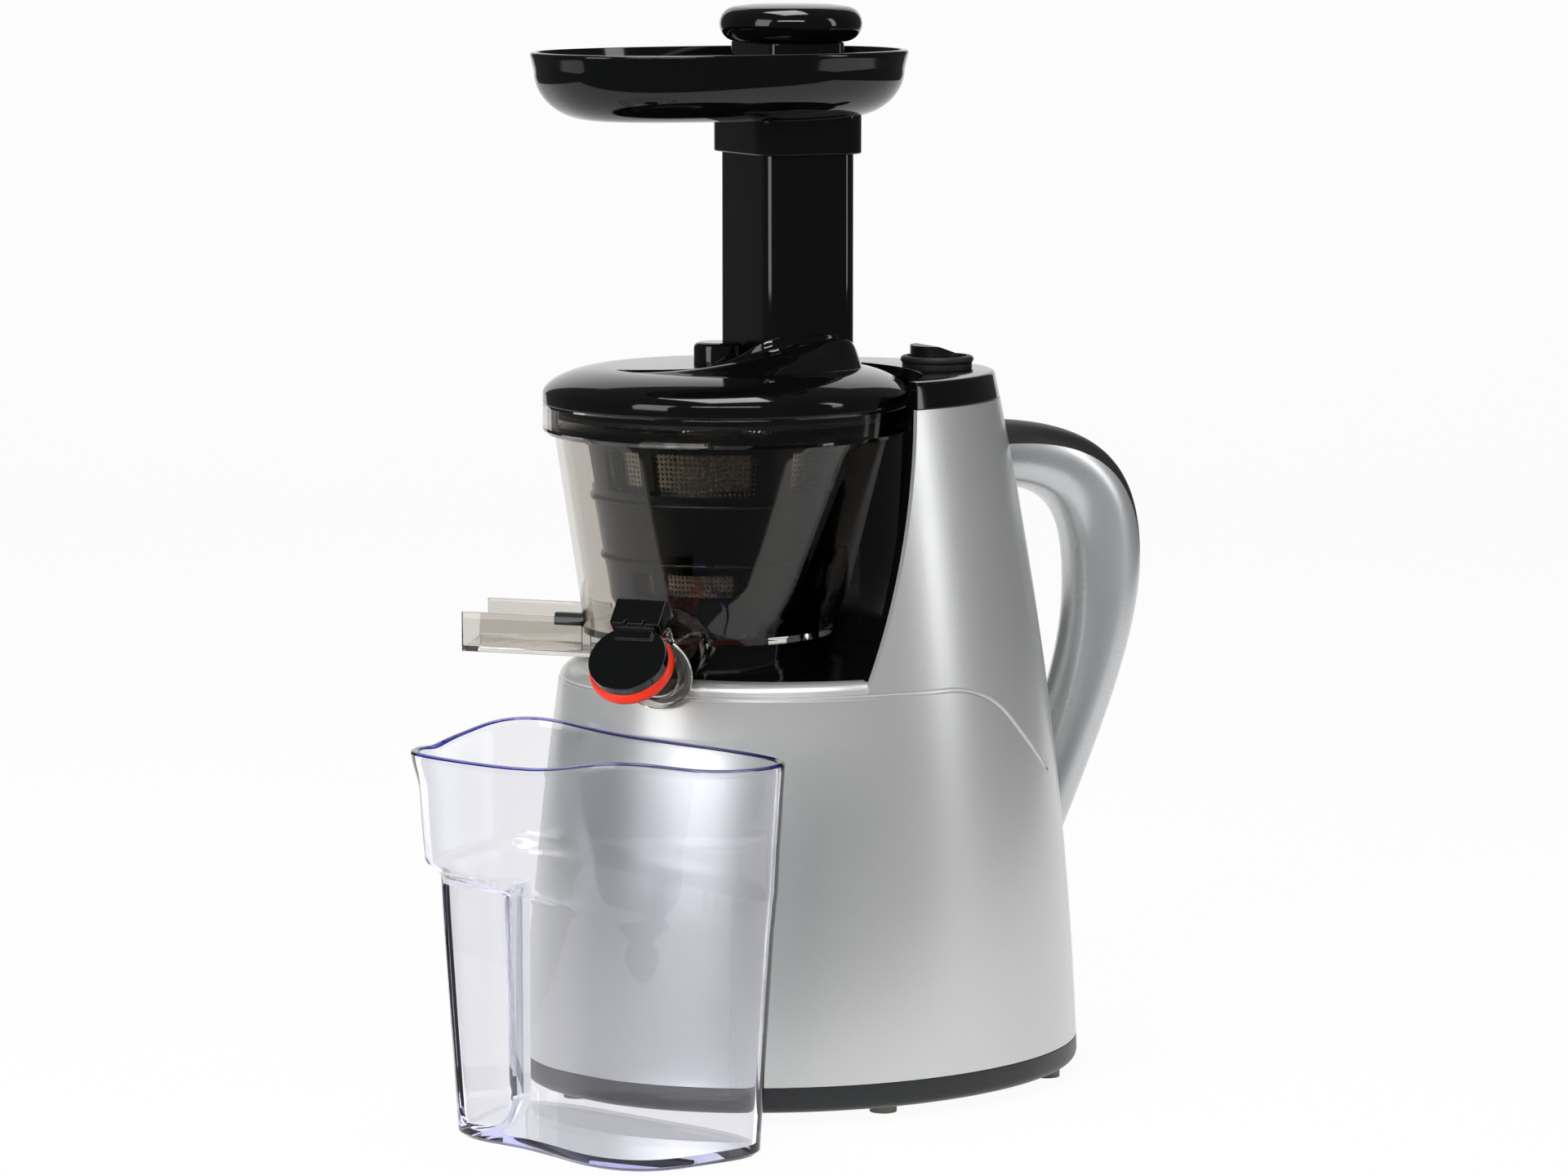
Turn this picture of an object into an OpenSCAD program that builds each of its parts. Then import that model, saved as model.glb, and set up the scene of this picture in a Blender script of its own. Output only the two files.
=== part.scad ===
// Vertical slow juicer with a drip-stop spout, pulp chute and pouring jug.
// Origin on the drive axis at table level, +Z up, the outlets face -Y and the handle +Y.

/* [Base] */
// Length of the oval footprint, front to back
base_len = 216; // [206:1:226]
// Width of the oval footprint
base_wid = 175; // [168:1:184]
// Distance from the drive axis back to the centre of the oval
body_shift = 35; // [33:0.5:37]
// Height of the rubber feet
foot_h = 4; // [3:0.5:6]
// Diameter of a rubber foot
foot_d = 10; // [9:0.5:14]
// Height of the dark band round the bottom
band_h = 10; // [8:0.5:12]

/* [Housing] */
// Height of the shoulder that carries the bowl seat, above the feet
shoulder_rise = 156; // [152:1:160]
// Radius of the rounded shoulder edge
shoulder_r = 6; // [4:0.5:7]
// Height of the column above the shoulder, up to the top cap
column_rise = 97; // [95:0.5:99]
// Length of the oval at the top of the column
top_len = 148; // [144:1:152]
// Width of the oval at the top of the column
top_wid = 121; // [117:1:125]
// Share of the taper that bows outwards
body_bow = 0.7; // [0.5:0.05:0.9]
// Wall of the moulded housing
housing_wall = 2.8; // [2:0.1:3.5]
// Radius of the cradle that the bowl stands in
cradle_r = 73; // [71:0.5:75]
// Lean of the front edges of the column, from the vertical
column_lean = 15; // [13:0.5:17]
// Hollow of the front edges of the column
column_hollow = 4; // [2:0.25:6]
// Depth of the moulded crease round the lower body
crease_depth = 0.8; // [0.4:0.1:1.2]
// Width of the moulded crease
crease_w = 2; // [1.2:0.1:3]
// Height of the top cap
cap_h = 10; // [8:0.5:11]
// Half width of the rear cover at the top
seam_half_w = 31; // [28:0.5:34]

/* [Handle] */
// Reach of the handle behind the drive axis
handle_reach = 176.5; // [174:0.5:180]
// Thickness of the handle at the grip
handle_t = 29; // [26:0.5:32]
// Width of the handle
handle_w = 28; // [24:0.5:32]

/* [Bowl] */
// Outer radius of the bowl ring
ring_r = 68; // [67:0.25:69]
// Height of the bowl ring
ring_h = 11; // [9:0.5:11]
// Distance from the drive axis back to the centre of the bowl ring
ring_shift = 3; // [2:0.25:3.5]
// Height of the seat ring that the bowl stands on
seat_h = 12; // [11:0.5:13]
// Height of the bowl from its underside to its rim
bowl_h = 85; // [83:0.5:86]
// Wall of the bowl
bowl_wall = 2.5; // [2:0.1:2.8]
// Outer radius at the foot of the bowl
bowl_foot_r = 46; // [45:0.25:47]

/* [Outlets] */
// Angle of each outlet from straight ahead
outlet_angle = 45; // [42:1:48]
// Reach of the pulp chute from the drive axis
chute_reach = 98; // [90:1:108]
// Width of the pulp chute
chute_w = 28; // [25:0.5:30]
// Depth of the pulp chute
chute_h = 15; // [13:0.5:16]
// Reach of the juice spout from the drive axis
spout_reach = 71; // [69:0.5:75]
// Fall of the juice spout below the horizontal
spout_fall = 20; // [18:1:24]
// Outer radius of the juice spout
spout_r = 12; // [11.5:0.25:12.5]
// Radius of the flange at the spout mouth
spout_rim_r = 15; // [14.5:0.25:16]

/* [Pressing set] */
// Outer radius of the auger at its top
auger_r = 41; // [38:0.5:42]
// Rise of the auger flight in one turn
auger_pitch = 44; // [38:1:56]
// Across flats of the drive shaft
shaft_flats = 13.6; // [12:0.2:14]
// Teeth on the auger gear
auger_teeth = 14; // [13:1:15]
// Teeth on the idler gear
idler_teeth = 12; // [11:1:13]
// Module of the bowl gears
gear_module = 1.7; // [1.6:0.02:1.72]

/* [Lid and hopper] */
// Height of the lid
lid_h = 13.5; // [12.5:0.5:18]
// Height of the feed tube above the lid
tube_h = 91.5; // [80:0.5:100]
// Width of the feed tube
tube_wid = 45; // [42:0.5:46]
// Length of the feed tube, front to back
tube_len = 37; // [34:0.5:38]
// Distance from the drive axis back to the feed tube
tube_shift = 28.4; // [27:0.2:29]
// Wall of the feed tube
tube_wall = 2.5; // [2:0.1:3]
// Length of the hopper tray
tray_len = 144; // [136:1:156]
// Width of the hopper tray
tray_wid = 96; // [88:1:104]
// Depth of the hopper tray
tray_h = 25; // [20:0.5:30]
// Diameter of the pusher knob
knob_d = 53; // [50:0.5:54]

/* [Jug] */
// Height of the jug
jug_h = 141; // [120:1:146]
// Wall of the jug
jug_wall = 2.4; // [2:0.1:3]
// Turn of the jug about its own axis
jug_turn = 0; // [-10:1:10]

/* [Hidden] */
$fn = 96;

// Clearances
fit = 0.05;        // running fit on a radius
seat = 0.3;        // free gap between bodies
slide = 0.4;       // gap round a sliding piece

// Heights
z_band = foot_h + band_h;
z_shoulder = foot_h + shoulder_rise;
z_cap = z_shoulder + column_rise;
z_top = z_cap + cap_h;
z_seat = z_shoulder + seat_h;
z_ring_top = z_seat + bowl_h;
z_ring = z_ring_top - ring_h;
z_lid = z_ring_top + lid_h;
z_tube = z_lid + tube_h;

// ---------- lofts ----------
// Closed solid through a stack of loops; every loop has the same number of points.
function quad_faces(m, n, wrap) = [for (j = [0:m - (wrap ? 1 : 2)]) for (i = [0:n - 1])
    let (a = j * n + i, b = j * n + (i + 1) % n, c = ((j + 1) % m) * n + (i + 1) % n,
        d = ((j + 1) % m) * n + i) each [[a, d, c], [a, c, b]]];
function flat(loops) = [for (l = loops) each l];
module loft(loops) {
    m = len(loops);
    n = len(loops[0]);
    polyhedron(points = flat(loops),
        faces = concat(quad_faces(m, n, false), [[for (i = [0:n - 1]) i]],
            [[for (i = [n - 1:-1:0]) (m - 1) * n + i]]), convexity = 8);
}
// Ring-shaped solid: the last loop joins the first.
module ring_loft(loops) {
    polyhedron(points = flat(loops), faces = quad_faces(len(loops), len(loops[0]), true),
        convexity = 8);
}
function power(v, e) = sign(v) * pow(abs(v), 2 / e);
function oval(cx, cy, a, b, z, n = 72, e = 2) = [for (i = [0:n - 1]) let (t = 360 * i / n)
    [cx + a * power(cos(t), e), cy + b * power(sin(t), e), z]];
function mix(a, b, t) = a + (b - a) * t;
function bezier(p, t) = pow(1 - t, 3) * p[0] + 3 * t * pow(1 - t, 2) * p[1]
    + 3 * t * t * (1 - t) * p[2] + pow(t, 3) * p[3];

// ---------- housing form ----------
function body_taper(z) = let (s = (z - foot_h) / (z_top - foot_h))
    (1 - body_bow) * s + body_bow * s * s;
function body_a(z) = mix(base_wid, top_wid, body_taper(z)) / 2;
function body_b(z) = mix(base_len, top_len, body_taper(z)) / 2;
body_n = 56;
function body_loop(z, inset) =
    oval(0, body_shift, body_a(z) - inset, body_b(z) - inset, z, body_n);
// Levels of the housing loft, from the band to the cap; every cut against it uses the same ones.
body_steps = 6;
function body_z(k) = mix(z_band, z_cap, k / body_steps);
module body_solid(inset, k0 = 0) {
    loft([for (k = [k0:body_steps]) body_loop(body_z(k), inset)]);
}
module body_shell() {
    ring_loft(concat([for (k = [0:body_steps]) body_loop(body_z(k), 0)],
        [for (k = [body_steps:-1:0]) body_loop(body_z(k), housing_wall)]));
}
// Everything in front of the column above the shoulder is cut away by a wide drum, whose
// surface runs up from the shoulder to the cap with the chosen lean and hollow.
column_front = 26;
chord = column_rise / cos(column_lean);
drum_r = chord * chord / (8 * column_hollow) + column_hollow / 2;
module front_drum(back = 0) {
    mid = [column_front + column_rise * tan(column_lean) / 2, z_shoulder + column_rise / 2];
    centre = mid + (column_hollow - drum_r) * [cos(column_lean), -sin(column_lean)];
    translate([-base_wid, centre[0], centre[1]]) rotate([0, 90, 0])
        cylinder(r = drum_r + back, h = 2 * base_wid, $fn = 360);
}
module above(z) {
    translate([-base_wid, -base_len, z]) cube([2 * base_wid, 2 * base_len, 300]);
}
module cradle(r, z0, z1) {
    translate([0, ring_shift, z0]) cylinder(r = r, h = z1 - z0);
}
// Strip of the rear between the two seams; grow widens it on both sides.
module rear_window(grow) {
    spread = 15;
    rotate([90, 0, 180]) translate([0, 0, body_shift]) linear_extrude(base_len)
        polygon([[-seam_half_w - spread - grow, z_band - 1],
            [seam_half_w + spread + grow, z_band - 1],
            [seam_half_w + grow, z_cap + 1], [-seam_half_w - grow, z_cap + 1]]);
}
// Side outline of the crease: level, then an arc, then straight down the flank.
crease_bend_r = 45;
crease_bend_y = 57;
crease_fall = 45;
module crease_band() {
    z_crease = z_shoulder - shoulder_r + 1;
    r = crease_bend_r;
    cz = z_crease - r;
    function outline(w) = concat([[-base_len, z_crease + w]],
        [for (a = [90:-5:90 - crease_fall])
            [crease_bend_y + (r + w) * cos(a), cz + (r + w) * sin(a)]],
        [[crease_bend_y + (r + w) * cos(crease_fall) + 26, cz + (r + w) * sin(crease_fall) - 26]]);
    outer = outline(crease_w / 2);
    inner = outline(-crease_w / 2);
    rotate([90, 0, 90]) translate([0, 0, -base_wid]) linear_extrude(2 * base_wid)
        polygon(concat(outer, [for (i = [len(inner) - 1:-1:0]) inner[i]]));
}
crease_levels = [body_z(2), body_z(3), z_shoulder - shoulder_r + crease_w + 2];
module crease() {
    intersection() {
        ring_loft(concat([for (z = crease_levels) body_loop(z, -2)],
            [for (k = [len(crease_levels) - 1:-1:0]) body_loop(crease_levels[k], crease_depth)]));
        crease_band();
    }
}
// Rounded silver rim of the shoulder, in front of the column.
rim_w = shoulder_r + 2;
module shoulder_rim() {
    z0 = z_shoulder - shoulder_r;
    steps = 4;
    ring_loft(concat(
        [for (k = [0:steps]) let (a = 90 * k / steps)
            body_loop(z0 + shoulder_r * sin(a), shoulder_r * (1 - cos(a)))],
        [plate_loop(z_shoulder), plate_loop(z_shoulder - housing_wall), body_loop(z0, housing_wall)]));
}

module housing_shell() {
    color("silver") difference() {
        union() {
            difference() {
                body_shell();
                intersection() {
                    above(z_shoulder - shoulder_r);
                    front_drum();
                }
            }
            intersection() {
                shoulder_rim();
                front_drum(housing_wall);
            }
        }
        rear_window(seat / 2);
        crease();
        spout_notch();
    }
}
module rear_cover() {
    color("silver") difference() {
        intersection() {
            body_shell();
            rear_window(-seat / 2);
        }
        gland_place() translate([0, 0, -20]) cylinder(r = gland_r + fit, h = 40);
    }
}

// ---------- handle ----------
handle_top = z_cap - 11;
handle_root_t = 25;
outer_top = [[0, 105, handle_top], [0, 157, handle_top], [0, handle_reach, handle_top - 17],
    [0, handle_reach, handle_top - 55]];
outer_low = [[0, handle_reach, handle_top - 55], [0, handle_reach, handle_top - 84],
    [0, handle_reach - 17, handle_top - 122], [0, handle_reach - 40, handle_top - 172]];
inner_reach = handle_reach - handle_t;
inner_top = [[0, 105, handle_top - handle_root_t], [0, 139, handle_top - handle_root_t],
    [0, inner_reach, handle_top - 34], [0, inner_reach, handle_top - 66]];
inner_low = [[0, inner_reach, handle_top - 66], [0, inner_reach, handle_top - 88],
    [0, inner_reach - 6, handle_top - 112], [0, inner_reach - 34, handle_top - 172]];
handle_rings = 20;
function handle_outer(t) = t < 0.5 ? bezier(outer_top, 2 * t) : bezier(outer_low, 2 * t - 1);
function handle_inner(t) = t < 0.5 ? bezier(inner_top, 2 * t) : bezier(inner_low, 2 * t - 1);
// Depth of the dark strip as a share of half the thickness, thick at the root.
function strip_share(t) = mix(0.3, 0.84, min(1, t / 0.5));
handle_exp = 2.4;
function handle_point(t, a) = let (o = handle_outer(t), i = handle_inner(t),
    s = power(sin(a), handle_exp), x = handle_w / 2 * power(cos(a), handle_exp))
    mix(i, o, (s + 1) / 2) + [x, 0, 0];
function chord_angle(t) = asin(pow(strip_share(t), handle_exp / 2));
function handle_arc(t, a0, a1, n) = [for (k = [0:n]) handle_point(t, mix(a0, a1, k / n))];
module handle_skin(grip) {
    loft([for (k = [handle_rings:-1:0]) let (t = k / handle_rings, c = chord_angle(t))
        grip ? handle_arc(t, c, 180 - c, 8) : handle_arc(t, 180 - c, 360 + c, 14)]);
}
module handle_core() {
    color("silver") difference() {
        handle_skin(false);
        body_solid(0, 1);
    }
}
module handle_grip() {
    color("dimgray") difference() {
        handle_skin(true);
        body_solid(0, 1);
    }
}

// ---------- column ----------
lining_wall = 3;
module cradle_lining() {
    color("black") difference() {
        intersection() {
            body_solid(housing_wall, 3);
            above(z_shoulder);
        }
        front_drum();
        cradle(cradle_r, z_shoulder - 1, z_cap + 1);
        difference() {
            above(z_shoulder - 1);
            front_drum(lining_wall);
            cradle(cradle_r + lining_wall, z_shoulder - 2, z_cap + 80);
        }
    }
}
switch_y = 91;
rocker_r = 10.2;
well_r = 12.5;
cap_wall = 2.5;
module top_cap() {
    edge = 1.2;
    color("black") difference() {
        loft([body_loop(z_cap, 0), body_loop(z_top - edge, 0),
            body_loop(z_top - edge / 3, edge / 3), body_loop(z_top, edge)]);
        front_drum();
        cradle(cradle_r, z_cap - 1, z_top + 1);
        difference() {
            loft([body_loop(z_cap - 1, cap_wall), body_loop(z_top - cap_wall, cap_wall)]);
            front_drum(cap_wall);
            cradle(cradle_r + cap_wall, z_cap - 2, z_top);
        }
        translate([0, switch_y, z_cap]) cylinder(r = well_r, h = cap_h + 1);
    }
}
boot_h = 4;
module switch_boot() {
    color("#1a1a1a") translate([0, switch_y, z_top]) rotate_extrude() {
        polygon([[rocker_r + 1, 0], [13.2, 0], [13.2, 1.2], [12.4, 1.6], [12.4, boot_h],
            [rocker_r + 1, boot_h]]);
        translate([12.4, 2.6]) circle(r = 1.4, $fn = 32);
    }
}
rocker_pivot_z = z_top - 3;
trunnion_r = 1.5;
cup_h = cap_h;
cup_wall = 2;
module switch_body() {
    color("#222") difference() {
        union() {
            difference() {
                translate([0, switch_y, z_top - cup_h]) cylinder(r = well_r + cup_wall, h = cup_h - cap_wall);
                translate([0, switch_y, z_top - cup_h + cup_wall]) cylinder(r = well_r, h = cup_h);
            }
            for (s = [-1, 1]) translate([s * 11.6 - 0.8, switch_y - 3, z_top - cup_h + 1])
                cube([1.6, 6, cup_h - 1.8]);
            for (s = [-1, 1]) translate([s * 4 - 0.5, switch_y - 2, z_top - cup_h - 6]) cube([1, 4, 7]);
        }
        translate([-20, switch_y, rocker_pivot_z]) rotate([0, 90, 0])
            cylinder(r = trunnion_r + fit, h = 40, $fn = 32);
        cradle(cradle_r + cap_wall, z_cap - 1, z_top);
    }
}
// Round paddle, high at the front and sloping to the back.
rocker_rise = 8;
module rocker() {
    color("#151515") translate([0, switch_y, 0]) {
        difference() {
            translate([0, 0, rocker_pivot_z - 3]) cylinder(r = rocker_r, h = 3 + 3 + rocker_rise);
            translate([-20, -4, z_top + rocker_rise]) rotate([-20, 0, 0]) cube([40, 30, 20]);
            translate([-20, -20, z_top + rocker_rise]) cube([40, 17, 20]);
        }
        translate([-12.2, 0, rocker_pivot_z]) rotate([0, 90, 0])
            cylinder(r = trunnion_r, h = 24.4, $fn = 32);
    }
}

// ---------- base ----------
foot_spots = [[72, 33], [-72, 33], [44, 116], [-44, 116], [0, -58]];
pan_floor = 3;
foot_plug = 2;
module foot_holes(r, z, h) {
    for (p = foot_spots) translate([p[0], p[1], z]) cylinder(r = r, h = h);
}
module base_pan() {
    color("#1c1c1c") difference() {
        union() {
            difference() {
                loft([body_loop(foot_h, 4), body_loop(foot_h + 1, 1.6), body_loop(foot_h + 2.4, 0.4),
                    body_loop(foot_h + 4, 0), body_loop(z_band, 0)]);
                loft([body_loop(foot_h + pan_floor, 6), body_loop(z_band + 1, 3)]);
            }
            for (p = pillar_spots) translate([p[0], p[1], foot_h + pan_floor - 0.1])
                cylinder(r = 6, h = 7);
        }
        foot_holes(foot_d / 2 - 2 + fit, foot_h - 1, foot_plug + 1);
        for (p = pillar_spots) translate([p[0], p[1], foot_h - 1]) {
            cylinder(r = screw_r + 0.3, h = 20);
            cylinder(r = 3.8, h = 4);
        }
        for (i = [-4:4]) translate([i * 7 - 1.2, 54, foot_h - 1]) cube([2.4, 34, pan_floor + 2]);
    }
}
module rubber_feet() {
    color("gray") {
        foot_holes(foot_d / 2, 0, foot_h);
        foot_holes(foot_d / 2 - 2, foot_h, foot_plug);
    }
}

// ---------- motor, gearbox and mounting ----------
pillar_spots = [[58, 0], [-58, 0], [40, 92], [-40, 92]];
screw_r = 2;
motor_y = 40;
motor_r = 38;
motor_len = 62;
motor_cap_h = 6;
motor_clear = 28;
plate_z = foot_h + motor_cap_h + motor_len + motor_clear;
plate_t = 2.5;
module mount_pillars() {
    color("dimgray") for (p = pillar_spots) translate([p[0], p[1], foot_h + pan_floor + 6.9])
        difference() {
            cylinder(r = 6, h = plate_z - foot_h - pan_floor - 6.9);
            translate([0, 0, -1]) cylinder(r = screw_r, h = 13);
        }
}
module base_screws() {
    color("lightgray") for (p = pillar_spots) translate([p[0], p[1], foot_h]) {
        translate([0, 0, 1]) cylinder(r = 3.4, h = 2);
        translate([0, 0, 2]) cylinder(r = screw_r, h = 18, $fn = 24);
    }
}
module plate_outline() {
    hull() for (p = pillar_spots) translate(p) circle(r = 9, $fn = 32);
}
module mount_plate() {
    color("gainsboro") translate([0, 0, plate_z]) linear_extrude(plate_t) difference() {
        plate_outline();
        translate([0, motor_y]) circle(r = motor_r - 6);
    }
}
module motor_can() {
    color("slategray") {
        translate([0, motor_y, plate_z - motor_len]) cylinder(r = motor_r, h = motor_len);
        translate([0, motor_y, plate_z - motor_len - motor_cap_h]) cylinder(r = motor_r - 24, h = motor_cap_h + 1);
        translate([0, motor_y, plate_z]) cylinder(r = motor_r - 6 - fit, h = plate_t);
    }
}
gearbox_z = plate_z + plate_t;
gearbox_h = z_shoulder - 16 - gearbox_z;
bearing_r = 15;
bearing_h = 10;
shaft_r = 8;
module gearbox_case() {
    color("darkgray") difference() {
        union() {
            translate([0, 0, gearbox_z]) linear_extrude(gearbox_h) hull() {
                circle(r = 30);
                translate([0, motor_y]) circle(r = 34);
            }
            translate([0, 0, gearbox_z + gearbox_h]) cylinder(r = bearing_r + 4, h = bearing_h);
        }
        translate([0, 0, gearbox_z + gearbox_h - 1]) cylinder(r = bearing_r, h = bearing_h + 2);
        translate([0, 0, gearbox_z + 8]) cylinder(r = shaft_r + 1, h = gearbox_h);
    }
}
module output_bearing() {
    color("peru") translate([0, 0, gearbox_z + gearbox_h - 1]) difference() {
        cylinder(r = bearing_r, h = bearing_h + 1);
        translate([0, 0, -1]) cylinder(r = shaft_r + fit, h = bearing_h + 3);
    }
}
board_in = 25;
module control_board() {
    color("darkgreen") translate([-26, body_shift - base_len / 2 + board_in, foot_h + pan_floor]) {
        translate([0, 0, 6]) cube([52, 26, 1.6]);
        for (x = [3, 46], y = [3, 20]) translate([x, y, 0]) cylinder(r = 2.5, h = 6, $fn = 24);
        translate([8, 5, 7.6]) cube([14, 16, 12]);
        translate([36, 13, 7.6]) cylinder(r = 6, h = 16);
    }
}
// Bush in the back wall, low down, for the mains lead.
gland_z = 24;
gland_r = 5;
module gland_place() {
    translate([0, body_shift + body_b(gland_z), gland_z]) rotate([-90, 0, 0]) children();
}
module cord_gland() {
    color("#1c1c1c") gland_place() difference() {
        union() {
            translate([0, 0, -12]) cylinder(r = gland_r, h = 13);
            translate([0, 0, 0.6]) cylinder(r = gland_r + 2, h = 2);
        }
        translate([0, 0, -13]) cylinder(r = 3.2, h = 17);
    }
}

// ---------- seat ----------
seat_r = 42;
seat_wall = 5;
seat_hole_r = bearing_r + 6;
plate_drop = housing_wall;
// Outline of the plate inside the silver rim; the rim is wider at the very front.
front_rim_extra = 6;
function plate_loop(z) = let (a = body_a(z_shoulder) - rim_w,
    b = body_b(z_shoulder) - rim_w - front_rim_extra / 2)
    oval(0, body_shift + front_rim_extra / 2, a, b, z, body_n);
module outlet(side) { rotate([0, 0, side * outlet_angle - 90]) children(); }
module seat_plate() {
    color("black") difference() {
        loft([plate_loop(z_shoulder - plate_drop), plate_loop(z_shoulder)]);
        translate([0, 0, z_shoulder - 10]) cylinder(r = seat_hole_r, h = 20);
        spout_notch();
    }
}
// The bowl's two outlets drop into the notches.
module seat_ring() {
    color("black") translate([0, 0, z_shoulder]) difference() {
        union() {
            cylinder(r = seat_r, h = seat_h);
            cylinder(r = seat_r + 1.5, h = 2);
        }
        translate([0, 0, -1]) cylinder(r = seat_r - seat_wall, h = seat_h + 2);
        outlet(-1) translate([0, -chute_w / 2 - slide, 1]) cube([seat_r + 10, chute_w + 2 * slide, 20]);
        translate([0, 0, -z_shoulder]) spout_notch();
    }
}

// ---------- drive ----------
hex_z = z_seat + 3;
hex_h = 38;
module hexagon(flats) { circle(r = flats / sqrt(3), $fn = 6); }
module drive_shaft() {
    z0 = gearbox_z + 12;
    color("lightgray") {
        translate([0, 0, z0]) cylinder(r = shaft_r, h = hex_z - z0);
        translate([0, 0, hex_z]) linear_extrude(hex_h) hexagon(shaft_flats);
    }
}

// ---------- bowl ----------
floor_t = 2.5;
z_floor = z_seat + floor_t;
bowl_mid_z = z_seat + 16;
bowl_mid_r = 50.3;
bowl_n = 64;
neck_r = ring_r - 5.5;
module bowl_form(inset, z0, z1) {
    loft([oval(0, -4.6, bowl_foot_r - inset, bowl_foot_r - inset, z0, bowl_n),
        oval(0, -2, bowl_mid_r - inset, bowl_mid_r - inset, bowl_mid_z, bowl_n),
        oval(0, ring_shift / 2, neck_r - inset, neck_r - inset, z1, bowl_n)]);
}
// Spout frame: x runs down the spout from its mouth, origin at the mouth centre.
spout_mouth_z = z_shoulder + 5;
module spout_frame() {
    outlet(1) translate([spout_reach, 0, spout_mouth_z]) rotate([0, spout_fall, 0]) children();
}
spout_root = 29;
spout_wall = 2;
spout_flare = 2;
// Room round the spout in the shoulder, open upwards so that the bowl lifts out.
module spout_notch() {
    r = spout_r + spout_flare + slide;
    spout_frame() {
        translate([-spout_root - 10, 0, 0]) rotate([0, 90, 0]) cylinder(r = r, h = spout_root + 30);
        translate([-spout_root - 10, -r, 0]) cube([spout_root + 30, 2 * r, 40]);
    }
}
duct_w = 22;
duct_in = 14;
chute_z = z_shoulder + 1;
chute_wall = 2;
chute_root = 46;
hub_r = 14;
seal_r = 11.5;
module chute_trough() {
    outlet(-1) difference() {
        union() {
            translate([chute_root, -chute_w / 2, chute_z]) cube([chute_reach - chute_root, chute_w, chute_h]);
            translate([chute_root + 4, -chute_w / 2, chute_z])
                cube([chute_reach - chute_root - 4, chute_wall, chute_h + 2]);
        }
        translate([chute_root - 1, -chute_w / 2 + chute_wall, chute_z + chute_wall])
            cube([chute_reach, chute_w - 2 * chute_wall, chute_h + 3]);
    }
}
// Closed duct under the floor that leads the pulp out to the trough.
module pulp_duct() {
    outlet(-1) translate([duct_in, -duct_w / 2 - chute_wall, chute_z])
        cube([chute_root + 4 - duct_in, duct_w + 2 * chute_wall, z_floor - chute_z - 0.5]);
}
ring_step = 1.5;
smoky = [0.25, 0.24, 0.23, 0.6];
module spout_bore() {
    spout_frame() translate([-spout_root + 2, 0, 0]) rotate([0, 90, 0])
        cylinder(r = spout_r - spout_wall, h = spout_root + 10);
}
module bowl_shell() {
    ledge_z = z_ring + ring_step;
    color(smoky) difference() {
        union() {
            bowl_form(0, z_seat, z_ring + 1);
            translate([0, ring_shift, z_ring]) cylinder(r1 = ring_r - ring_step, r2 = ring_r, h = ring_step);
            translate([0, ring_shift, ledge_z]) cylinder(r = ring_r, h = ring_h - ring_step);
            translate([0, 0, z_seat - 5]) cylinder(r = hub_r, h = 6);
        }
        bowl_form(bowl_wall, z_floor, ledge_z + 0.5);
        translate([0, ring_shift, ledge_z]) cylinder(r = neck_r, h = ring_h);
        spout_bore();
        outlet(-1) translate([duct_in + chute_wall, -duct_w / 2, z_seat - 1]) cube([14, duct_w, 10]);
        translate([0, 0, z_seat - 6]) cylinder(r = seal_r, h = 12);
        idler_place() cylinder(r = pin_r, h = 40, center = true, $fn = 32);
    }
}
// Tapered pipe that leads the juice out, with a rim and the ears of the cap's hinge.
module spout_pipe() {
    color(smoky) difference() {
        union() {
            spout_frame() translate([-spout_root, 0, 0]) rotate([0, 90, 0])
                cylinder(r1 = spout_r + spout_flare, r2 = spout_r, h = spout_root);
            spout_frame() translate([-3, 0, 0]) rotate([0, 90, 0]) cylinder(r = spout_rim_r, h = 3);
            spout_ears();
        }
        bowl_form(0, z_seat, z_ring + 1);
        spout_bore();
        hinge_place() rotate([90, 0, 0])
            cylinder(r = barrel_r + seat, h = 2 * (cap_half_w + slide), center = true);
    }
}
module pulp_trough() {
    color(smoky) difference() {
        union() {
            difference() {
                pulp_duct();
                outlet(-1) translate([duct_in + chute_wall, -duct_w / 2, chute_z + chute_wall])
                    cube([chute_root + 10 - duct_in, duct_w, 20]);
            }
            chute_trough();
        }
        bowl_form(0, z_seat, z_ring + 1);
    }
}
module shaft_seal() {
    color("orangered") translate([0, 0, z_seat - 5]) difference() {
        cylinder(r = seal_r, h = 5 + floor_t - 0.3);
        translate([0, 0, -1]) cylinder(r = shaft_r + fit, h = 12);
    }
}
// Soft plug that closes the slot beside the root of the pulp trough.
module pulp_plug() {
    color("#151515") outlet(-1) translate([chute_root + 4, chute_w / 2 - chute_wall - 3, chute_z + chute_h - 3.5])
        cube([11, 3, 4.5]);
}

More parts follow.
